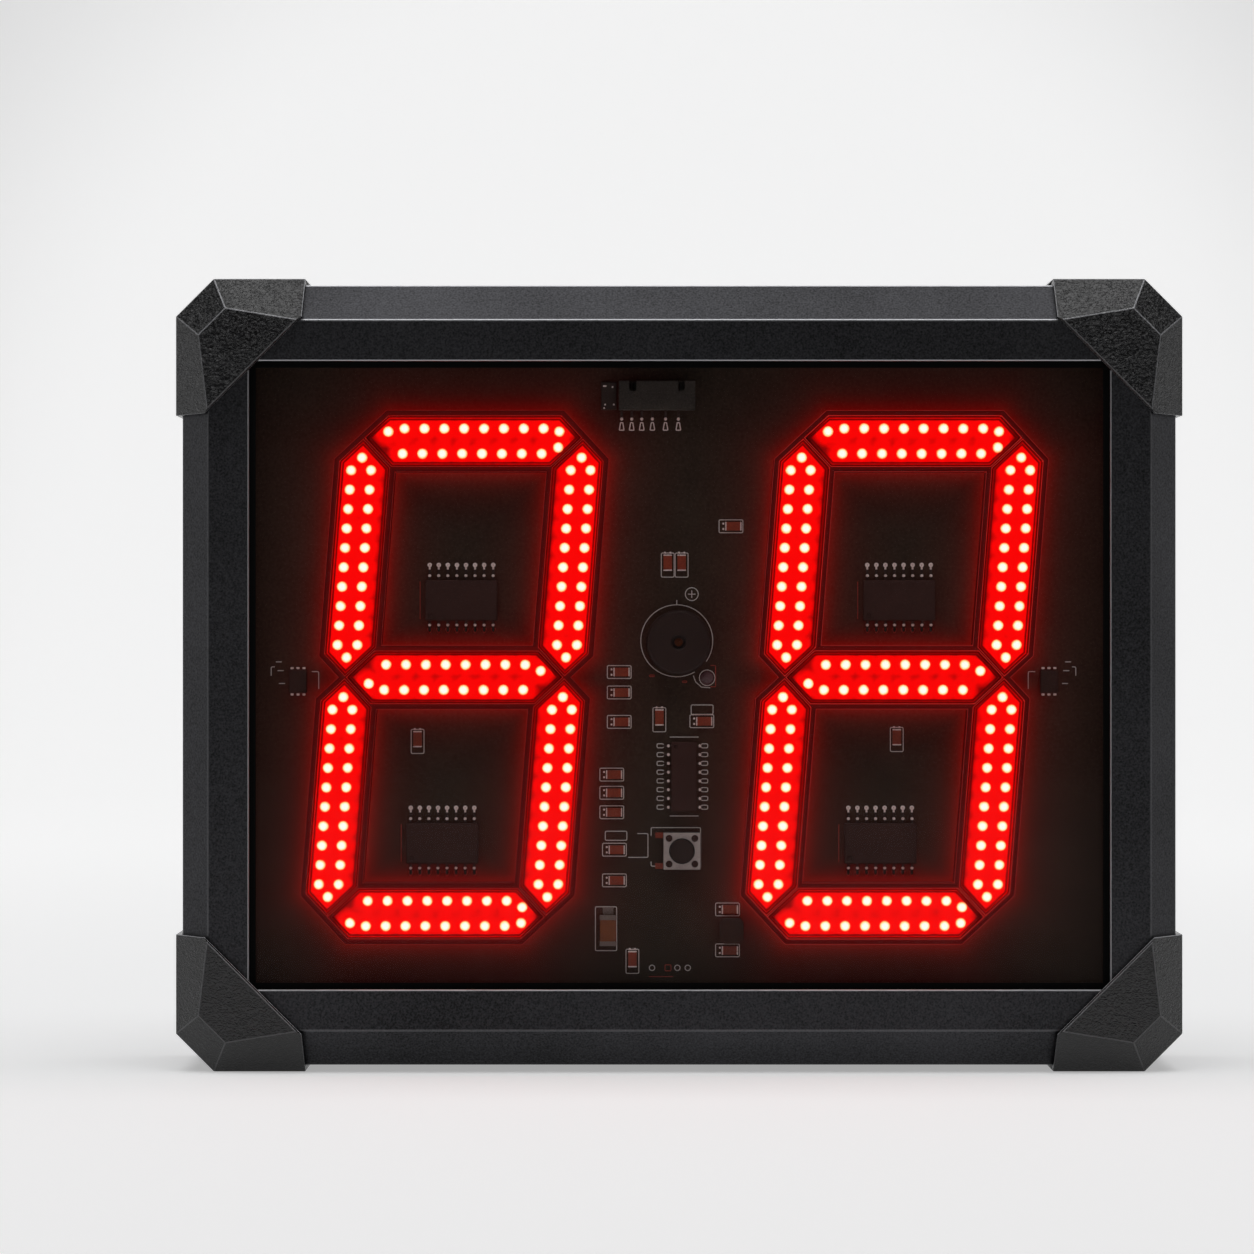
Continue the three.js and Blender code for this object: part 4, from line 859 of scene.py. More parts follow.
# Red ink of the board's second print, which looks nearly black in the bars' light
red_ink = surface("red_epoxy_ink", "#b03c30", "#e05848", patch=3, grain=0.4, depth=0.01,
                  roughness=0.6)
red_lines = [line((10.1, 129.0), (11.7, 129.0), (11.7, 122.2), (10.1, 122.2)),
             line((-9.6, 29.6), (-1.9, 29.6)), outline(-3.5, 32.4, 1.9, 1.9),
             outline(-8.6, 125.7, 1.6, 0.5), outline(1.8, 123.8, 1.4, 0.5)]
# Small triangles under the drivers' lower leads, and a line beside each driver
for x, z in DRIVERS:
    for lead in [x + step * DRIVER_PITCH for step in LEAD_STEPS]:
        triangle = (lead - 0.9, z - 8.9), (lead, z - 10.8), (lead + 0.9, z - 8.9)
        red_lines.append((on_board(*triangle), True))
red_lines += [line((x - 13.2, z - 6.0), (x - 13.2, z + 6.0)) for x, z in DRIVERS]
belongs(swept("board_red_print", red_lines, PRINT_LINE, PRINT_THICK, corner=0.3, facing=(0, 1, 0),
              material=red_ink), "board_laminate")

# Pads: copper on the board, tinned by hot air and left bare above the drivers' leads and under the
# connector. They lie flat, and end in a round spot or widen like a bell.
PAD_THICK = 0.08
# A bell pad's outline, across from its tail and up on the board
BELL = [(-0.75, 204.2), (-0.35, 206.6), (0.35, 206.6), (0.75, 204.2)]
# The weak glow that stands for the bars' light on bare metal
PAD_GLINT = 0.15
# Tinned copper: pale and a little duller than the solder of the joints, with a pink tint painted
# into its colour and a painted pink glow, both for the bars' light nearby
tinned_copper = surface("tinned_copper", "#e8d8d2", "#ffffff", patch=2, grain=0.3, depth=0.01,
                        roughness=0.42, metallic=0.2)
set_glint(tinned_copper, PAD_GLINT)
driver_pads = []
for x, z in DRIVERS:
    for lead in [x + step * DRIVER_PITCH for step in LEAD_STEPS]:
        driver_pads += [line((lead, z + 9.0), (lead, z + 10.6)), arc(lead, z + 11.3, 0.42)]
belongs(swept("driver_pads", driver_pads, across=0.6, along=PAD_THICK, corner=0.3,
              facing=(0, 1, 0), material=tinned_copper), "board_laminate")
bell_pads = [(on_board(*[(x + across, z) for across, z in BELL]), True) for x in CONNECTOR_TAILS]
belongs(swept("connector_pads", bell_pads, across=0.35, along=PAD_THICK, corner=0.2,
              facing=(0, 1, 0), material=tinned_copper), "board_laminate")

# Small chips: resistors and capacitors in brown ceramic with metal ends, placed by machine and
# reflowed on to their pads. Two spots of solder show at one end of each.
CHIP_LENGTH = 5.2
CHIP_WIDTH = 2.8
CHIP_HEIGHT = 1.2
CHIP_END = 0.4
# The ceramic is this much narrower and flatter than the ends
CHIP_STEP = 0.1
# The spots of solder: their size and depth, how far their middles rise off the board, and how far
# they lie from the chip's middle line
SPOT_SIZE = 0.6
SPOT_DEPTH = 0.3
SPOT_RISE = 0.1
SPOT_UP = 0.85


def seat(x, z, rise=0.0, turn=0.0):
    """A place on the board's face, or a rise above it, and a turn about the depth axis."""
    return (x * MM, (BOARD_FRONT - rise) * MM, z * MM), (0.0, turn, 0.0)


chip_seats = [seat(x, z, CHIP_HEIGHT / 2) for x, z in LEVEL_CHIPS]
chip_seats += [seat(x, z, CHIP_HEIGHT / 2, math.pi / 2) for x, z in UPRIGHT_CHIPS]
# Ceramic: reddish brown and slightly glossy, as overglazed
brown_ceramic = surface("overglazed_ceramic", "#98361f", "#c04e2e", patch=3, grain=0.4, depth=0.01,
                        roughness=0.35)
chip_body = mesh_of("chip", block(CHIP_LENGTH - 2 * CHIP_END, CHIP_WIDTH - CHIP_STEP,
                                  CHIP_HEIGHT - CHIP_STEP, radius=0.12, segments=2))
belongs(repeated("small_chips", chip_body, chip_seats, brown_ceramic), "chip_epoxy")
# Solder: bright and smooth, a little wavy where it set, with a painted pink glint of the bars'
# light
bright_solder = surface("bright_solder", "#e0d6d2", "#ffffff", patch=1.5, grain=0.7, depth=0.06,
                        roughness=0.3, metallic=0.3)
set_glint(bright_solder, PAD_GLINT)
end_middle = (CHIP_LENGTH - CHIP_END) / 2
chip_end = mesh_of("chip_ends", merged(
    *[block(CHIP_END, CHIP_WIDTH, CHIP_HEIGHT, radius=0.15, middle=(across, 0, 0))
      for across in (end_middle, -end_middle)],
    *[block(SPOT_SIZE, SPOT_SIZE, SPOT_DEPTH, radius=0.1,
            middle=(-CHIP_LENGTH / 2 - SPOT_SIZE, CHIP_HEIGHT / 2 - SPOT_RISE, up))
      for up in (SPOT_UP, -SPOT_UP)]))
belongs(repeated("small_chip_ends", chip_end, chip_seats, bright_solder), "board_laminate")

# Driver and logic chips: black epoxy moulded round a lead frame, with gull-wing leads soldered to
# the pads. A driver lies in each half of the two digits, and the logic chip stands between them.
DRIVER_SIZE = (23.0, 12.9, 2.4)
LOGIC_SIZE = (8.2, 22.2, 1.8)
# The dimples: their widths, where the logic chip's lies from its middle, and their cutter's depth
# and how far its middle stands off the chip's face
DRIVER_DIMPLE = 1.6
LOGIC_DIMPLE = 1.4
LOGIC_DIMPLE_PLACE = (-2.6, 9.6)
DIMPLE_CUTTER = 1.0
DIMPLE_OFF = 0.2
# How far the leads reach from the body, and where on them the solder beads sit: out and up
DRIVER_REACH = 3.4
LOGIC_REACH = 2.6
DRIVER_BEAD = (1.4, 1.2)
LOGIC_BEAD = (0.9, 0.9)


def moulded_chip(name, x, z, size, edge, dimple, dimple_x, dimple_z):
    """A chip's body, with a dimple in its face that marks the first lead."""
    width, height, thickness = size
    return carved(
        name,
        block(width, height, thickness, edge, (x, BOARD_FRONT - thickness / 2, z), segments=2),
        block(dimple, dimple, DIMPLE_CUTTER, radius=0.3,
              middle=(dimple_x, BOARD_FRONT - thickness - DIMPLE_OFF, dimple_z)))


def gull_wing(reach, thickness):
    """A lead's run away from the body: out at half height, down to the board and along it."""
    return [(-0.5, thickness / 2), (reach * 0.3, thickness / 2), (reach * 0.5, 0.2), (reach, 0.2)]


# Epoxy filled with quartz: charcoal and matt, as the mould's spark-eroded walls leave it, with a
# red-brown tint painted into its colour for the bars' light
chip_epoxy = surface("moulded_chip_epoxy", "#4a2e29", "#5c3b35", patch=6, grain=0.35, depth=0.02,
                     roughness=0.55, specular=0.2)
for (x, z), name in zip(DRIVERS, ("left_upper", "right_upper", "left_lower", "right_lower")):
    body = moulded_chip(f"driver_{name}", x, z, DRIVER_SIZE, edge=0.35, dimple=DRIVER_DIMPLE,
                        dimple_x=x - DRIVER_SIZE[0] / 2 + DRIVER_DIMPLE,
                        dimple_z=z - DRIVER_SIZE[1] / 2 + DRIVER_DIMPLE)
    belongs(mesh_piece(f"driver_{name}", body, chip_epoxy), "chip_epoxy", f"driver_chip_{name}")
logic = moulded_chip("logic", *LOGIC, LOGIC_SIZE, edge=0.3, dimple=LOGIC_DIMPLE,
                     dimple_x=LOGIC[0] + LOGIC_DIMPLE_PLACE[0],
                     dimple_z=LOGIC[1] + LOGIC_DIMPLE_PLACE[1])
belongs(mesh_piece("logic_chip_body", logic, chip_epoxy), "chip_epoxy", "logic_chip")
driver_leads = [([(x + step * DRIVER_PITCH, BOARD_FRONT - up, z + side * (DRIVER_SIZE[1] / 2 + out))
                  for out, up in gull_wing(DRIVER_REACH, DRIVER_SIZE[2])], False)
                for x, z in DRIVERS for side in (1, -1) for step in LEAD_STEPS]
# Tin-plated copper lead frame, coloured a dull brown-grey
dull_tin = surface("dull_tin_plate", "#3c2c28", "#54403a", patch=2, grain=0.3, depth=0.01,
                   roughness=0.5, metallic=0.5)
belongs(swept("driver_leads", driver_leads, across=0.35, along=0.8, corner=0.25, facing=(1, 0, 0),
              material=dull_tin), "chip_epoxy")
logic_leads = [([(LOGIC[0] + side * (LOGIC_SIZE[0] / 2 + out), BOARD_FRONT - up,
                  LOGIC[1] + step * LOGIC_PITCH)
                 for out, up in gull_wing(LOGIC_REACH, LOGIC_SIZE[2])], False)
               for side in (1, -1) for step in LEAD_STEPS]
belongs(swept("logic_leads", logic_leads, across=0.3, along=0.7, corner=0.25, facing=(0, 0, 1),
              material=dull_tin), "chip_epoxy")
# Solder joints: a bright bead where each lead bends down
bead = mesh_of("bead", turned([(0, -0.5), (0.3, -0.42), (0.5, 0.0), (0.5, 0.9), (0, 0.9)],
                              sides=10))
out, up = DRIVER_BEAD
beads = [seat(x + step * DRIVER_PITCH, z + side * (DRIVER_SIZE[1] / 2 + out), up)
         for x, z in DRIVERS for side in (1, -1) for step in LEAD_STEPS]
out, up = LOGIC_BEAD
beads += [seat(LOGIC[0] + side * (LOGIC_SIZE[0] / 2 + out), LOGIC[1] + step * LOGIC_PITCH, up)
          for side in (1, -1) for step in LEAD_STEPS]
belongs(repeated("lead_beads", bead, beads, bright_solder), "chip_epoxy")

# Board connector: a moulded nylon shroud with two slots in its front wall, open at the top, with
# six pins pressed into it. Their tails bend down to the board and are soldered to its face.
SHROUD = (24.4, 9.3, 6.0)
SHROUD_WALL = 1.2
SLOT_SIZE = (2.2, 6.6, 4.0)
SLOT_OUT = 7.75
# Shallow grooves across the front wall, at these heights from its middle
GROOVES = (-2.6, -0.9, 0.8)
GROOVE_WIDTH = 0.35
GROOVE_CUTTER = 0.3
# How far below the shroud the tails bend, reach the board and end
TAIL_BENDS = (1.0, 2.6, 3.4)
# The beads on the tails: how high on the board, and how far proud of it
TAIL_BEAD = (207.7, 1.4)
width, height, depth = SHROUD
x, z = CONNECTOR
middle_depth = BOARD_FRONT - depth / 2
shroud = carved(
    "shroud", block(width, height, depth, radius=0.3, middle=(x, middle_depth, z), segments=2),
    block(width - 2 * SHROUD_WALL, height, depth - 2 * SHROUD_WALL, radius=0.2,
          middle=(x, middle_depth, z + SHROUD_WALL)),
    *[block(*SLOT_SIZE, radius=0.1,
            middle=(x + side * SLOT_OUT, BOARD_FRONT - depth, z + height / 2))
      for side in (1, -1)],
    *[block(width + 2, GROOVE_WIDTH, GROOVE_CUTTER, radius=0.0,
            middle=(x, BOARD_FRONT - depth, z + rise))
      for rise in GROOVES])
# Nylon 66: grey-black, with a brown tint painted into its colour for the bars' light, a soft shine
# and the mould's faint flow lines
shroud_nylon = surface("grey_black_nylon", "#4a413c", "#625751", patch=5, grain=0.5, depth=0.03,
                       roughness=0.5, specular=0.2)
belongs(mesh_piece("connector_shroud", shroud, shroud_nylon), "connector_plastic",
        "board_connector")
bend, landing, end = [z - height / 2 - below for below in TAIL_BENDS]
pins = [([(tail, middle_depth, z + height / 2 - 1.0), (tail, middle_depth, bend),
          (tail, BOARD_FRONT - 0.3, landing), (tail, BOARD_FRONT - 0.3, end)], False)
        for tail in CONNECTOR_TAILS]
belongs(swept("connector_pins", pins, across=0.64, along=0.8, corner=0.4, facing=(1, 0, 0),
              material=dull_tin), "connector_plastic")
tail_beads = [seat(tail, *TAIL_BEAD) for tail in CONNECTOR_TAILS]
belongs(repeated("tail_beads", bead.copy(), tail_beads, bright_solder), "connector_plastic")

# Side part and edge parts: a flat part beside the connector with five dots of solder, and a small
# chip near each side edge of the board with three tabs above and below. All are soldered flat.
SIDE_SIZE = (5.0, 9.0, 1.6)
EDGE_SIZE = (5.8, 7.4, 1.6)
TAB_SIZE = (1.0, 0.7, 0.5)
TAB_PITCH = 1.9
TAB_UP = 4.2
# The dots on the side part as (x, z, width), and how far proud of the board they lie
SIDE_DOTS = [(-23.7, 218.2, 1.1), (-21.2, 217.9, 0.5), (-23.6, 212.3, 0.5), (-20.8, 212.3, 0.5),
             (-23.9, 211.2, 0.5)]
DOT_RISE = 1.68
side_part = block(*SIDE_SIZE, radius=0.3, segments=2,
                  middle=(SIDE_PART[0], BOARD_FRONT - SIDE_SIZE[2] / 2, SIDE_PART[1]))
belongs(formed("side_part", side_part, dull_tin), "chip_epoxy")
side_dots = [block(width, height=0.5, depth=0.2, radius=0.08,
                   middle=(x, BOARD_FRONT - DOT_RISE, z)) for x, z, width in SIDE_DOTS]
belongs(formed("side_part_dots", merged(*side_dots), bright_solder), "chip_epoxy")
edge_blocks = [block(*EDGE_SIZE, radius=0.3, middle=(x, BOARD_FRONT - EDGE_SIZE[2] / 2, z),
                     segments=2) for x, z in EDGE_PARTS]
belongs(formed("edge_parts", merged(*edge_blocks), chip_epoxy), "chip_epoxy")
edge_tabs = [block(*TAB_SIZE, radius=0.15,
                   middle=(x + side * TAB_PITCH, BOARD_FRONT - TAB_SIZE[2] / 2, z + up * TAB_UP))
             for x, z in EDGE_PARTS for side in (1, 0, -1) for up in (1, -1)]
belongs(formed("edge_part_tabs", merged(*edge_tabs), bright_solder), "chip_epoxy")

# Buzzer and indicator lamp: a round plastic can with a sound hole over its brass disc, and a small
# round LED with a diffusing lens, both soldered to the board between the digits
BUZZER_RADIUS = 10.4
BUZZER_HEIGHT = 5.5
buzzer_can = turned([(0, -2.5), (2.2, -2.5), (2.2, -5.2), (2.6, -BUZZER_HEIGHT),
                     (9.4, -BUZZER_HEIGHT), (10.1, -5.2), (BUZZER_RADIUS, -4.6),
                     (BUZZER_RADIUS, 0.0), (0, 0.0)], sides=64)
# Noryl: dark grey and satin, smooth from a polished mould, with a brown tint painted into its
# colour for the bars' red light, and a painted highlight on its edges
black_noryl = surface("satin_black_noryl", "#3a2723", "#48322d", patch=6, grain=0.4, depth=0.01,
                      roughness=0.4, specular=0.25, edge_highlight="#6a5650")
belongs(repeated("buzzer_can", mesh_of("buzzer", buzzer_can), [seat(*BUZZER)], black_noryl),
        "buzzer_plastic", "buzzer")
# Brass: lightly tarnished, with a red tint painted into its colour for the bars' light
dull_brass = surface("tarnished_brass", "#5c2f22", "#7a4630", patch=1, grain=0.3, depth=0.01,
                     roughness=0.4, metallic=1.0)
disc = turned([(0, -2.9), (1.3, -2.8), (1.4, -2.4), (0, -2.4)], sides=24)
belongs(repeated("buzzer_disc", mesh_of("disc", disc), [seat(*BUZZER)], dull_brass),
        "buzzer_plastic")
# Diffusing epoxy, unlit: a milky mauve
milky_epoxy = surface("milky_led_epoxy", "#6a4448", "#8d6468", patch=2, grain=0.3, depth=0.01,
                      roughness=0.25)
lens = turned([(0, -1.4), (1.0, -1.3), (1.8, -0.95), (2.16, -0.4), (2.16, 0.0), (0, 0.0)],
              sides=32)
belongs(repeated("indicator_lamp", mesh_of("lens", lens), [seat(*LAMP)], milky_epoxy), "chip_epoxy")

# Push button: a tact switch, with a steel cover riveted to a moulded base. The plunger stands in
# the cover's hole and moves in when it is pressed.
BUTTON_SIDE = 12.0
BUTTON_HEIGHT = 4.0
COVER_SIDE = 11.75
COVER_THICK = 0.4
# The hollow in the base, and the round hole in the cover over it
HOLLOW_SIDE = 8.4
HOLE_RADIUS = 4.1
RIVET_OUT = 4.1
LEG_SIZE = (2.6, 1.8, 0.3)
LEG_OUT = 7.2
LEG_UP = 4.9
PLUNGER_EDGE = 0.35
# Nylon 66: black with a soft shine, and a brown tint painted into its colour for the bars' light
black_nylon = surface("black_nylon", "#1a1614", "#2a2421", patch=5, grain=0.5, depth=0.03,
                      roughness=0.45)
x, z = BUTTON
base_height = BUTTON_HEIGHT - COVER_THICK
base = carved("button_base",
              block(BUTTON_SIDE, BUTTON_SIDE, base_height, radius=0.4,
                    middle=(x, BOARD_FRONT - base_height / 2, z), segments=2),
              block(HOLLOW_SIDE, HOLLOW_SIDE, depth=3.0, radius=2.0,
                    middle=(x, BOARD_FRONT - BUTTON_HEIGHT, z), segments=3))
belongs(mesh_piece("button_base", base, black_nylon), "button_steel", "push_button_body")
# Cold-rolled steel, nickel plated: smooth and greyish, with fine rolling marks
nickel_steel = surface("nickelled_steel", "#d2bcb6", "#f0dcd6", patch=3, grain=0.35, depth=0.01,
                       roughness=0.4, metallic=0.3)
plate_form = block(COVER_SIDE, COVER_SIDE, COVER_THICK, radius=0.15,
                   middle=(x, BOARD_FRONT - BUTTON_HEIGHT + COVER_THICK / 2, z), segments=2)
hole_form = turned([(0, -2.0), (HOLE_RADIUS, -2.0), (HOLE_RADIUS, 2.0), (0, 2.0)], sides=48)
bmesh.ops.translate(hole_form, vec=Vector((x, BOARD_FRONT - BUTTON_HEIGHT, z)) * MM,
                    verts=hole_form.verts)
plate = mesh_piece("button_cover", carved("button_cover", plate_form, hole_form), nickel_steel)
belongs(plate, "button_steel")
rivet_seats = [seat(x + across * RIVET_OUT, z + up * RIVET_OUT, BUTTON_HEIGHT)
               for across in (1, -1) for up in (1, -1)]
rivet = turned([(0, -0.4), (0.7, -0.38), (1.1, -0.15), (1.1, 0.1), (0, 0.1)], sides=20)
belongs(repeated("button_rivets", mesh_of("rivet", rivet), rivet_seats, chip_epoxy), "button_steel")
legs = [block(*LEG_SIZE, radius=0.1,
              middle=(x - LEG_OUT, BOARD_FRONT - LEG_SIZE[2] / 2, z + up * LEG_UP))
        for up in (1, -1)]
belongs(formed("button_legs", merged(*legs), brown_ceramic), "button_steel")
plunger = softened("button_stem", "push_button_plunger", PLUNGER_EDGE, black_noryl)
belongs(plunger, "plunger_plastic", "push_button_plunger", body="button_plunger")

# Storage capacitor and choke: a ceramic block with metal ends, and a wound ferrite with cut
# corners, soldered to the foot of the board, where its supply comes in
CAPACITOR_SIZE = (5.2, 7.4, 3.0)
CAPACITOR_END = (5.4, 1.5, 3.2)
CAPACITOR_PAD = (3.4, 2.4, 0.3)
# How far the ends, and the bare pad above them, lie from the capacitor's middle
END_UP = 4.15
PAD_UP = 6.2
CHOKE_EDGE = 0.3
x, z = CAPACITOR
# Barium titanate: a fired ceramic, tan brown and slightly glossy
tan_ceramic = surface("tan_capacitor_ceramic", "#8a4420", "#ac5c2c", patch=3, grain=0.4, depth=0.01,
                      roughness=0.4)
capacitor = block(*CAPACITOR_SIZE, radius=0.25, segments=2,
                  middle=(x, BOARD_FRONT - CAPACITOR_SIZE[2] / 2, z))
belongs(formed("capacitor_body", capacitor, tan_ceramic), "capacitor_ceramic", "storage_capacitor")
ends = [block(*CAPACITOR_END, radius=0.2, segments=2,
              middle=(x, BOARD_FRONT - CAPACITOR_END[2] / 2, z + up * END_UP)) for up in (1, -1)]
ends.append(block(*CAPACITOR_PAD, radius=0.1,
                  middle=(x, BOARD_FRONT - CAPACITOR_PAD[2] / 2, z + PAD_UP)))
# Barrel-plated tin: matt and grey
matt_tin = surface("matt_plated_tin", "#8a736c", "#a58d85", patch=2, grain=0.4, depth=0.01,
                   roughness=0.5, metallic=0.3)
belongs(formed("capacitor_ends", merged(*ends), matt_tin), "capacitor_ceramic")
# Ferrite: dark grey-brown ceramic, sintered and tumbled, with a dull speckle and a painted
# highlight on its edges
dull_ferrite = surface("sintered_ferrite", "#4a2e28", "#5c3f37", patch=2, grain=0.5, depth=0.02,
                       roughness=0.7, specular=0.15, edge_highlight="#5a443e")
belongs(softened("choke_core", "choke", CHOKE_EDGE, dull_ferrite), "choke_ferrite", "choke")

# Back panel: a flat sheet of aluminium, punched and powder coated, held by the rails' flanges. It
# has two keyholes for wall screws, and openings for the switch and the charging socket.
PANEL_EDGE = 0.3
# Powder coat: charcoal with a fine orange-peel texture, dull, with a painted highlight along its
# edges
powder_coat = surface("powder_coated_aluminium", "#2c2c2f", "#434347", patch=25, grain=1.1,
                      depth=0.12, roughness=0.5, wrinkle=0.6, edge_highlight="#6c6c70")
belongs(softened("back_sheet", "back_panel", PANEL_EDGE, powder_coat), "panel_aluminium",
        "back_panel")

# Power switch: a rocker in a flanged nylon body, snapped into the panel. It tilts about a level
# axis, and stands pressed at the top, which is on.
SWITCH_EDGE = 0.3
ROCKER_EDGE = 0.35
# Nylon 66, as in the push button but without the tint painted in for the bars' light: neutral black
# and dull, with a painted highlight on its edges
dull_nylon = surface("dull_black_nylon", "#0c0c0d", "#1b1b1d", patch=6, grain=0.5, depth=0.03,
                     roughness=0.5, edge_highlight="#3c3c3f")
belongs(softened("switch_housing", "power_switch_body", SWITCH_EDGE, dull_nylon), "switch_plastic",
        "power_switch_body")
# Polycarbonate: black and glossy, from a polished mould, with a painted highlight on its edges
glossy_polycarbonate = surface("glossy_black_polycarbonate", "#0d0d0e", "#161617", patch=4,
                               grain=0.6, depth=0.008, roughness=0.22, ior=1.58, edge_highlight="#3c3c3e")
belongs(softened("switch_rocker", "power_switch_rocker", ROCKER_EDGE, glossy_polycarbonate),
        "rocker_plastic", "power_switch_rocker", body="switch_rocker")

# Marks on the rocker: a line on the half that switches on and a ring on the other, pad printed.
# They ride on the rocker, and the ring lies on the half that leans out at rest.
RING_RADIUS = 1.35
RING_STEPS = 28
# The knee between the halves as (y, z), the lower half's lean in degrees, and how far from the knee
# the line starts and ends and the ring's middle lies
ROCKER_KNEE = (32.19, 44.13)
ROCKER_LEAN = 22.0
LINE_FROM = 1.9
LINE_TO = 4.9
RING_DOWN = 3.3
# Pad-printing ink: off-white and matt
rocker_ink = surface("rocker_ink", "#d4d4d0", "#f2f2ee", patch=2, grain=0.3, depth=0.005,
                     roughness=0.5)
low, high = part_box("power_switch_rocker")
middle = (low.x + high.x) / 2 / MM
knee_depth, knee_up = ROCKER_KNEE
mark = [(middle, knee_depth, knee_up + LINE_FROM), (middle, knee_depth, knee_up + LINE_TO)]
belongs(swept("rocker_line", [(mark, False)], across=0.55, along=0.08, corner=0.0,
              facing=(0, 1, 0), material=rocker_ink), "rocker_plastic", body="switch_rocker")
lean = math.radians(ROCKER_LEAN)
ring = []
for step in range(RING_STEPS):
    turn = step * math.tau / RING_STEPS
    down = RING_DOWN - RING_RADIUS * math.sin(turn)
    ring.append((middle + RING_RADIUS * math.cos(turn), knee_depth + down * math.sin(lean),
                 knee_up - down * math.cos(lean)))
belongs(swept("rocker_ring", [(ring, True)], across=0.45, along=0.08, corner=0.0,
              facing=(0, math.cos(lean), math.sin(lean)), material=rocker_ink),
        "rocker_plastic", body="switch_rocker")

# Charging socket: a round barrel jack with a centre pin, put through the panel and held by a
# hexagon nut from behind. The body is moulded, and the nut is turned brass, nickel plated.
SOCKET = (58.0, 44.0)
SOCKET_EDGE = 0.25
NUT_FRONT = 32.0
NUT_BACK = 33.3
NUT_RADIUS = 6.1
NUT_BORE = 3.6
belongs(softened("charging_socket", "charge_socket", SOCKET_EDGE, dull_nylon), "socket_plastic",
        "charge_socket")
nut_form = turned([(0, NUT_FRONT), (NUT_RADIUS, NUT_FRONT), (NUT_RADIUS, NUT_BACK - 0.35),
                   (5.5, NUT_BACK), (0, NUT_BACK)], sides=6)
nut_hole = turned([(0, NUT_FRONT - 1), (NUT_BORE, NUT_FRONT - 1), (NUT_BORE, NUT_BACK - 0.3),
                   (4.1, NUT_BACK + 0.2), (4.1, NUT_BACK + 1), (0, NUT_BACK + 1)], sides=48)
for form in (nut_form, nut_hole):
    bmesh.ops.translate(form, vec=Vector((SOCKET[0], 0.0, SOCKET[1])) * MM, verts=form.verts)
# Nickel plate: bright and smooth, with fine turning marks
bright_nickel = surface("bright_nickel", "#9a9894", "#c2c0bc", patch=2, grain=0.25, depth=0.01,
                        roughness=0.28, metallic=1.0)
nut = mesh_piece("socket_nut", carved("socket_nut", nut_form, nut_hole), bright_nickel)
belongs(nut, "socket_plastic")

# Battery pack, its strap, the supply board and the leads: they lie inside, behind the display
# board. The pack is shrink-wrapped, the strap is bent sheet steel, and the leads are stranded wire.
# Shrink wrap: blue PVC, glossy, with soft wrinkles where it shrank
shrink_wrap = surface("blue_shrink_wrap", "#16324f", "#214a72", patch=9, grain=3.5, depth=0.15,
                      roughness=0.3, wrinkle=0.5)
finish_node("battery_pack", shrink_wrap)
# Galvanised sheet: pale grey zinc with a faint spangle
galvanised_steel = surface("galvanised_steel", "#8a8d8f", "#b3b6b8", patch=6, grain=2.5,
                           depth=0.005, roughness=0.4, metallic=1.0)
finish_node("battery_bracket", galvanised_steel)
# Green solder mask over glass epoxy: satin, with the weave just showing
green_laminate = surface("green_masked_epoxy", "#12401f", "#1c5a2d", patch=10, grain=0.9,
                         depth=0.02, roughness=0.38)
finish_node("supply_board", green_laminate)
# Soft PVC: satin and slightly dusty, red on one lead and black on the other
red_pvc = surface("red_wire_pvc", "#8a1512", "#a9201b", patch=6, grain=0.5, depth=0.02,
                  roughness=0.45)
finish_node("battery_lead", red_pvc)
black_pvc = surface("black_wire_pvc", "#121212", "#1f1f1f", patch=6, grain=0.5, depth=0.02,
                    roughness=0.45)
finish_node("display_lead", black_pvc)

# Studio: a pale paper sweep, a large softbox overhead, a weaker one at each side, and a dim room
# behind the camera. Nothing here belongs to the shot clock.
CLOCK_MIDDLE = (0.0, 0.0, 0.12)
# The sweep in metres: half its width, its floor's start and end, its cove, and its wall's top
SWEEP_HALF = 3.0
FLOOR_START = -2.5
FLOOR_END = 1.75
COVE_RADIUS = 0.9
COVE_STEPS = 8
WALL_TOP = 3.0
# The paper's own light as it is seen: near and far from a point before the clock, where it is
# weaker as a painted shade, and how much less at the picture's corners, a painted shade which fades
# in over the foot of the wall
GLOW_MIDDLE = (0.0, -0.35, 0.0)
GLOW_REACH = (0.25, 2.25)
GLOW_NEAR = 0.36
GLOW_FAR = 0.69
CORNERS_MIDDLE = (0.0, 0.0, 0.25)
CORNERS_REACH = (0.45, 0.84)
CORNER_SHADE = 0.2
WALL_FOOT = 0.3
sweep_form = bmesh.new()
profile = [(FLOOR_START, 0.0), (FLOOR_END, 0.0)]
for step in range(1, COVE_STEPS + 1):
    turn = step * math.pi / (2 * COVE_STEPS)
    profile.append((FLOOR_END + COVE_RADIUS * math.sin(turn), COVE_RADIUS * (1 - math.cos(turn))))
profile.append((FLOOR_END + COVE_RADIUS, WALL_TOP))
left, right = [[sweep_form.verts.new((x, y, z)) for y, z in profile]
               for x in (-SWEEP_HALF, SWEEP_HALF)]
for index in range(len(profile) - 1):
    sweep_form.faces.new((left[index], left[index + 1], right[index + 1], right[index]))
sweep_mesh = mesh_of("sweep", sweep_form)
sweep_mesh.shade_smooth()
# Background paper: matt, with painted light that is brighter in the middle and painted shade near
# the clock's front and at the picture's corners
pale_paper = bpy.data.materials.new("pale_paper")
pale_paper.use_nodes = True
paper_tree = pale_paper.node_tree
paper = paper_tree.nodes["Principled BSDF"]
paper.inputs["Base Color"].default_value = linear("#dededf")
paper.inputs["Roughness"].default_value = 0.9
paper.inputs["Emission Color"].default_value = linear("#ffffff")


def sum_of(tree, *values):
    """The output of a chain of nodes that adds up the values."""
    total = values[0]
    for value in values[1:]:
        total = add_node(tree, "ShaderNodeMath", {0: total, 1: value}, operation="ADD").outputs[0]
    return total


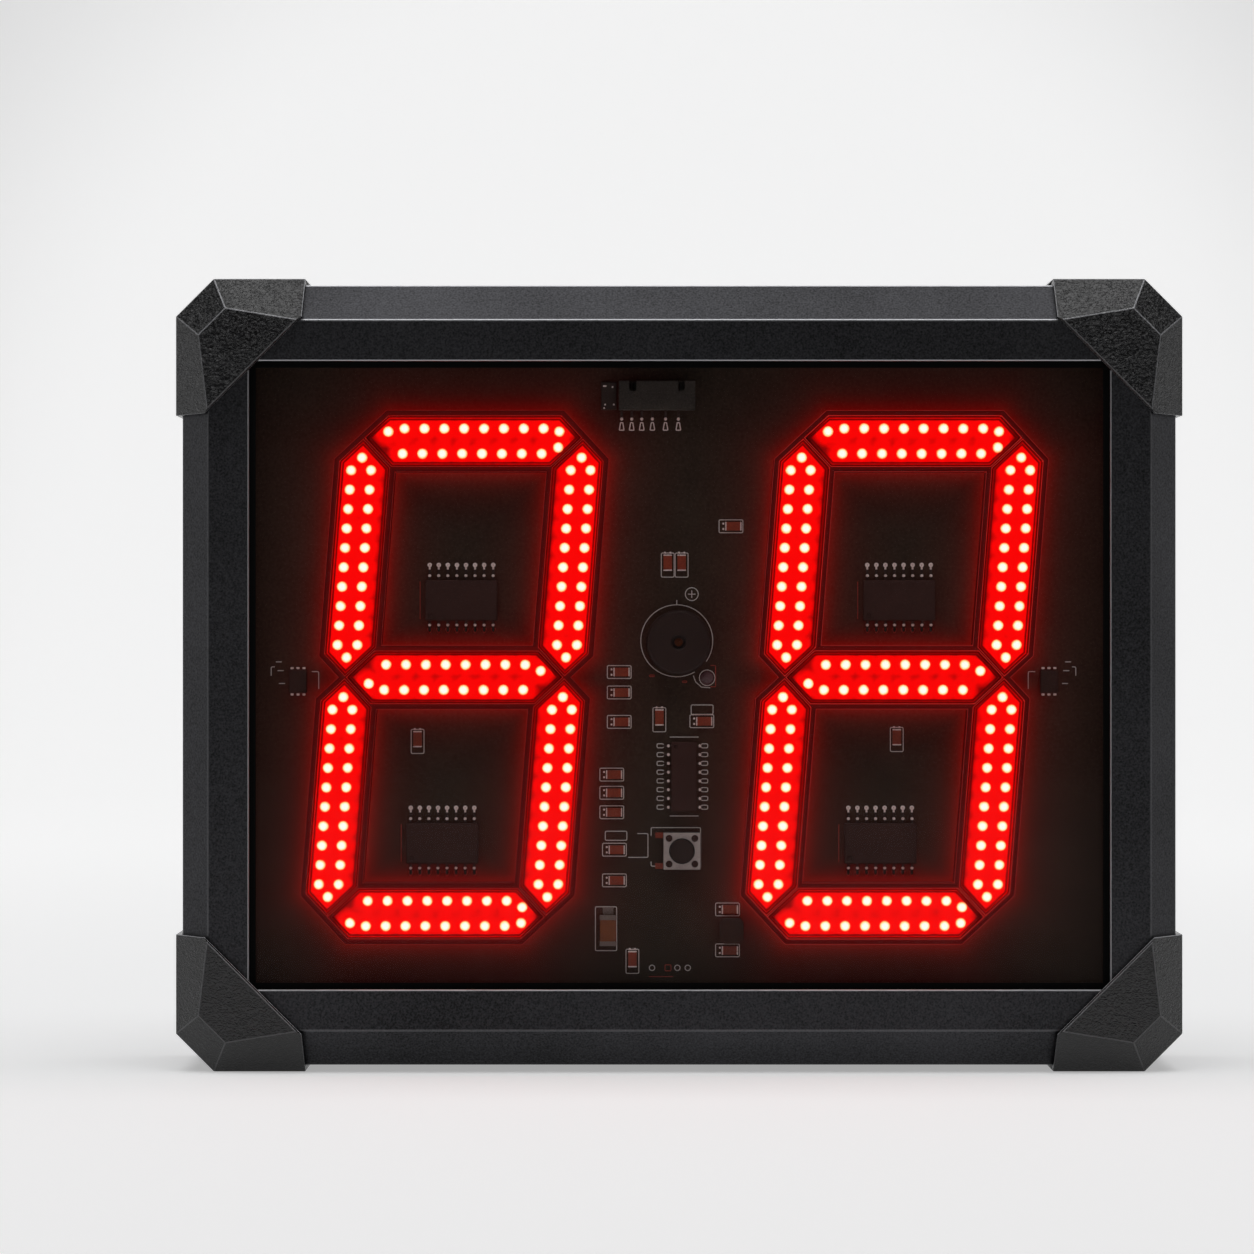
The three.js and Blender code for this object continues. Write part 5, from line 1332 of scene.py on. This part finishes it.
rays = add_node(paper_tree, "ShaderNodeLightPath").outputs
seen = sum_of(paper_tree, rays["Is Camera Ray"], rays["Is Transmission Ray"], rays["Is Glossy Ray"])
paper_place = add_node(paper_tree, "ShaderNodeTexCoord").outputs["Object"]
flat = add_node(paper_tree, "ShaderNodeVectorMath", {0: paper_place, 1: (1.0, 0.0, 1.0)},
                operation="MULTIPLY")
aside = add_node(paper_tree, "ShaderNodeVectorMath", {0: flat.outputs[0], 1: CORNERS_MIDDLE},
                 operation="DISTANCE")
corners = add_node(paper_tree, "ShaderNodeMapRange", {
    "Value": aside.outputs["Value"], "From Min": CORNERS_REACH[0], "From Max": CORNERS_REACH[1],
    "To Min": 0.0, "To Max": CORNER_SHADE}, interpolation_type="SMOOTHSTEP")
height = add_node(paper_tree, "ShaderNodeSeparateXYZ", {0: paper_place}).outputs["Z"]
on_wall = add_node(paper_tree, "ShaderNodeMapRange", {
    "Value": height, "From Min": 0.0, "From Max": WALL_FOOT})
shaded = add_node(paper_tree, "ShaderNodeMath", {0: corners.outputs[0], 1: on_wall.outputs[0]},
                  operation="MULTIPLY")
away = add_node(paper_tree, "ShaderNodeVectorMath", {0: paper_place, 1: GLOW_MIDDLE},
                operation="DISTANCE")
far = add_node(paper_tree, "ShaderNodeMapRange", {
    "Value": away.outputs["Value"], "From Min": GLOW_REACH[0], "From Max": GLOW_REACH[1],
    "To Min": GLOW_NEAR, "To Max": GLOW_FAR}, interpolation_type="SMOOTHSTEP")
shaded_glow = add_node(paper_tree, "ShaderNodeMath", {0: far.outputs[0], 1: shaded.outputs[0]},
                operation="SUBTRACT")
glow = add_node(paper_tree, "ShaderNodeMath", {0: seen, 1: shaded_glow.outputs[0]}, operation="MULTIPLY")
paper_tree.links.new(glow.outputs[0], paper.inputs["Emission Strength"])
mesh_piece("sweep", sweep_mesh, pale_paper)


def softbox(name, place, target, width, height, radiance):
    """A rectangular lamp that faces its target, with the radiance of its surface."""
    lamp = bpy.data.lights.new(name, "AREA")
    lamp.shape = "RECTANGLE"
    lamp.size = width
    lamp.size_y = height
    lamp.energy = radiance * math.pi * width * height
    lamp_object = bpy.data.objects.new(name, lamp)
    lamp_object.location = place
    aim = Vector(target) - Vector(place)
    lamp_object.rotation_euler = aim.to_track_quat("-Z", "Y").to_euler()
    bpy.context.scene.collection.objects.link(lamp_object)


softbox("overhead", (0.0, -0.25, 1.7), CLOCK_MIDDLE, width=1.8, height=1.6, radiance=2.2)
softbox("left_side", (-1.8, 0.3, 0.6), CLOCK_MIDDLE, width=1.2, height=1.0, radiance=0.95)
softbox("right_side", (1.8, 0.3, 0.6), CLOCK_MIDDLE, width=1.2, height=1.0, radiance=0.85)
# The room lights the clock weakly, and looks pale where a view looks past the sweep
ROOM_DIM = 0.08
ROOM_SEEN = 0.75
room = bpy.data.worlds.new("dim_room")
room.use_nodes = True
background = room.node_tree.nodes["Background"]
background.inputs["Color"].default_value = linear("#ffffff")
rays = add_node(room.node_tree, "ShaderNodeLightPath").outputs
seen = sum_of(room.node_tree, rays["Is Camera Ray"], rays["Is Transmission Ray"])
sky = add_node(room.node_tree, "ShaderNodeMapRange", {
    "Value": seen, "To Min": ROOM_DIM, "To Max": ROOM_SEEN})
room.node_tree.links.new(sky.outputs[0], background.inputs["Strength"])
bpy.context.scene.world = room

# Camera: square on to the front, as far away as the photograph's flat perspective needs. The width
# of the picture is taken at the clock's front, on which the place in its middle lies too.
CAMERA_DISTANCE = 1.5
FRAME_WIDTH = 0.3963
PICTURE_MIDDLE = (-0.0166, -0.033, 0.1413)
# The camera's sensor, in millimetres
SENSOR_WIDTH = 36.0
camera_data = bpy.data.cameras.new("camera")
camera_data.sensor_width = SENSOR_WIDTH
camera_data.lens = SENSOR_WIDTH * CAMERA_DISTANCE / FRAME_WIDTH
camera = bpy.data.objects.new("camera", camera_data)
camera.location = (PICTURE_MIDDLE[0], PICTURE_MIDDLE[1] - CAMERA_DISTANCE, PICTURE_MIDDLE[2])
camera.rotation_euler = (math.pi / 2, 0.0, 0.0)
bpy.context.scene.collection.objects.link(camera)
bpy.context.scene.camera = camera
bpy.context.scene.view_settings.view_transform = "Standard"
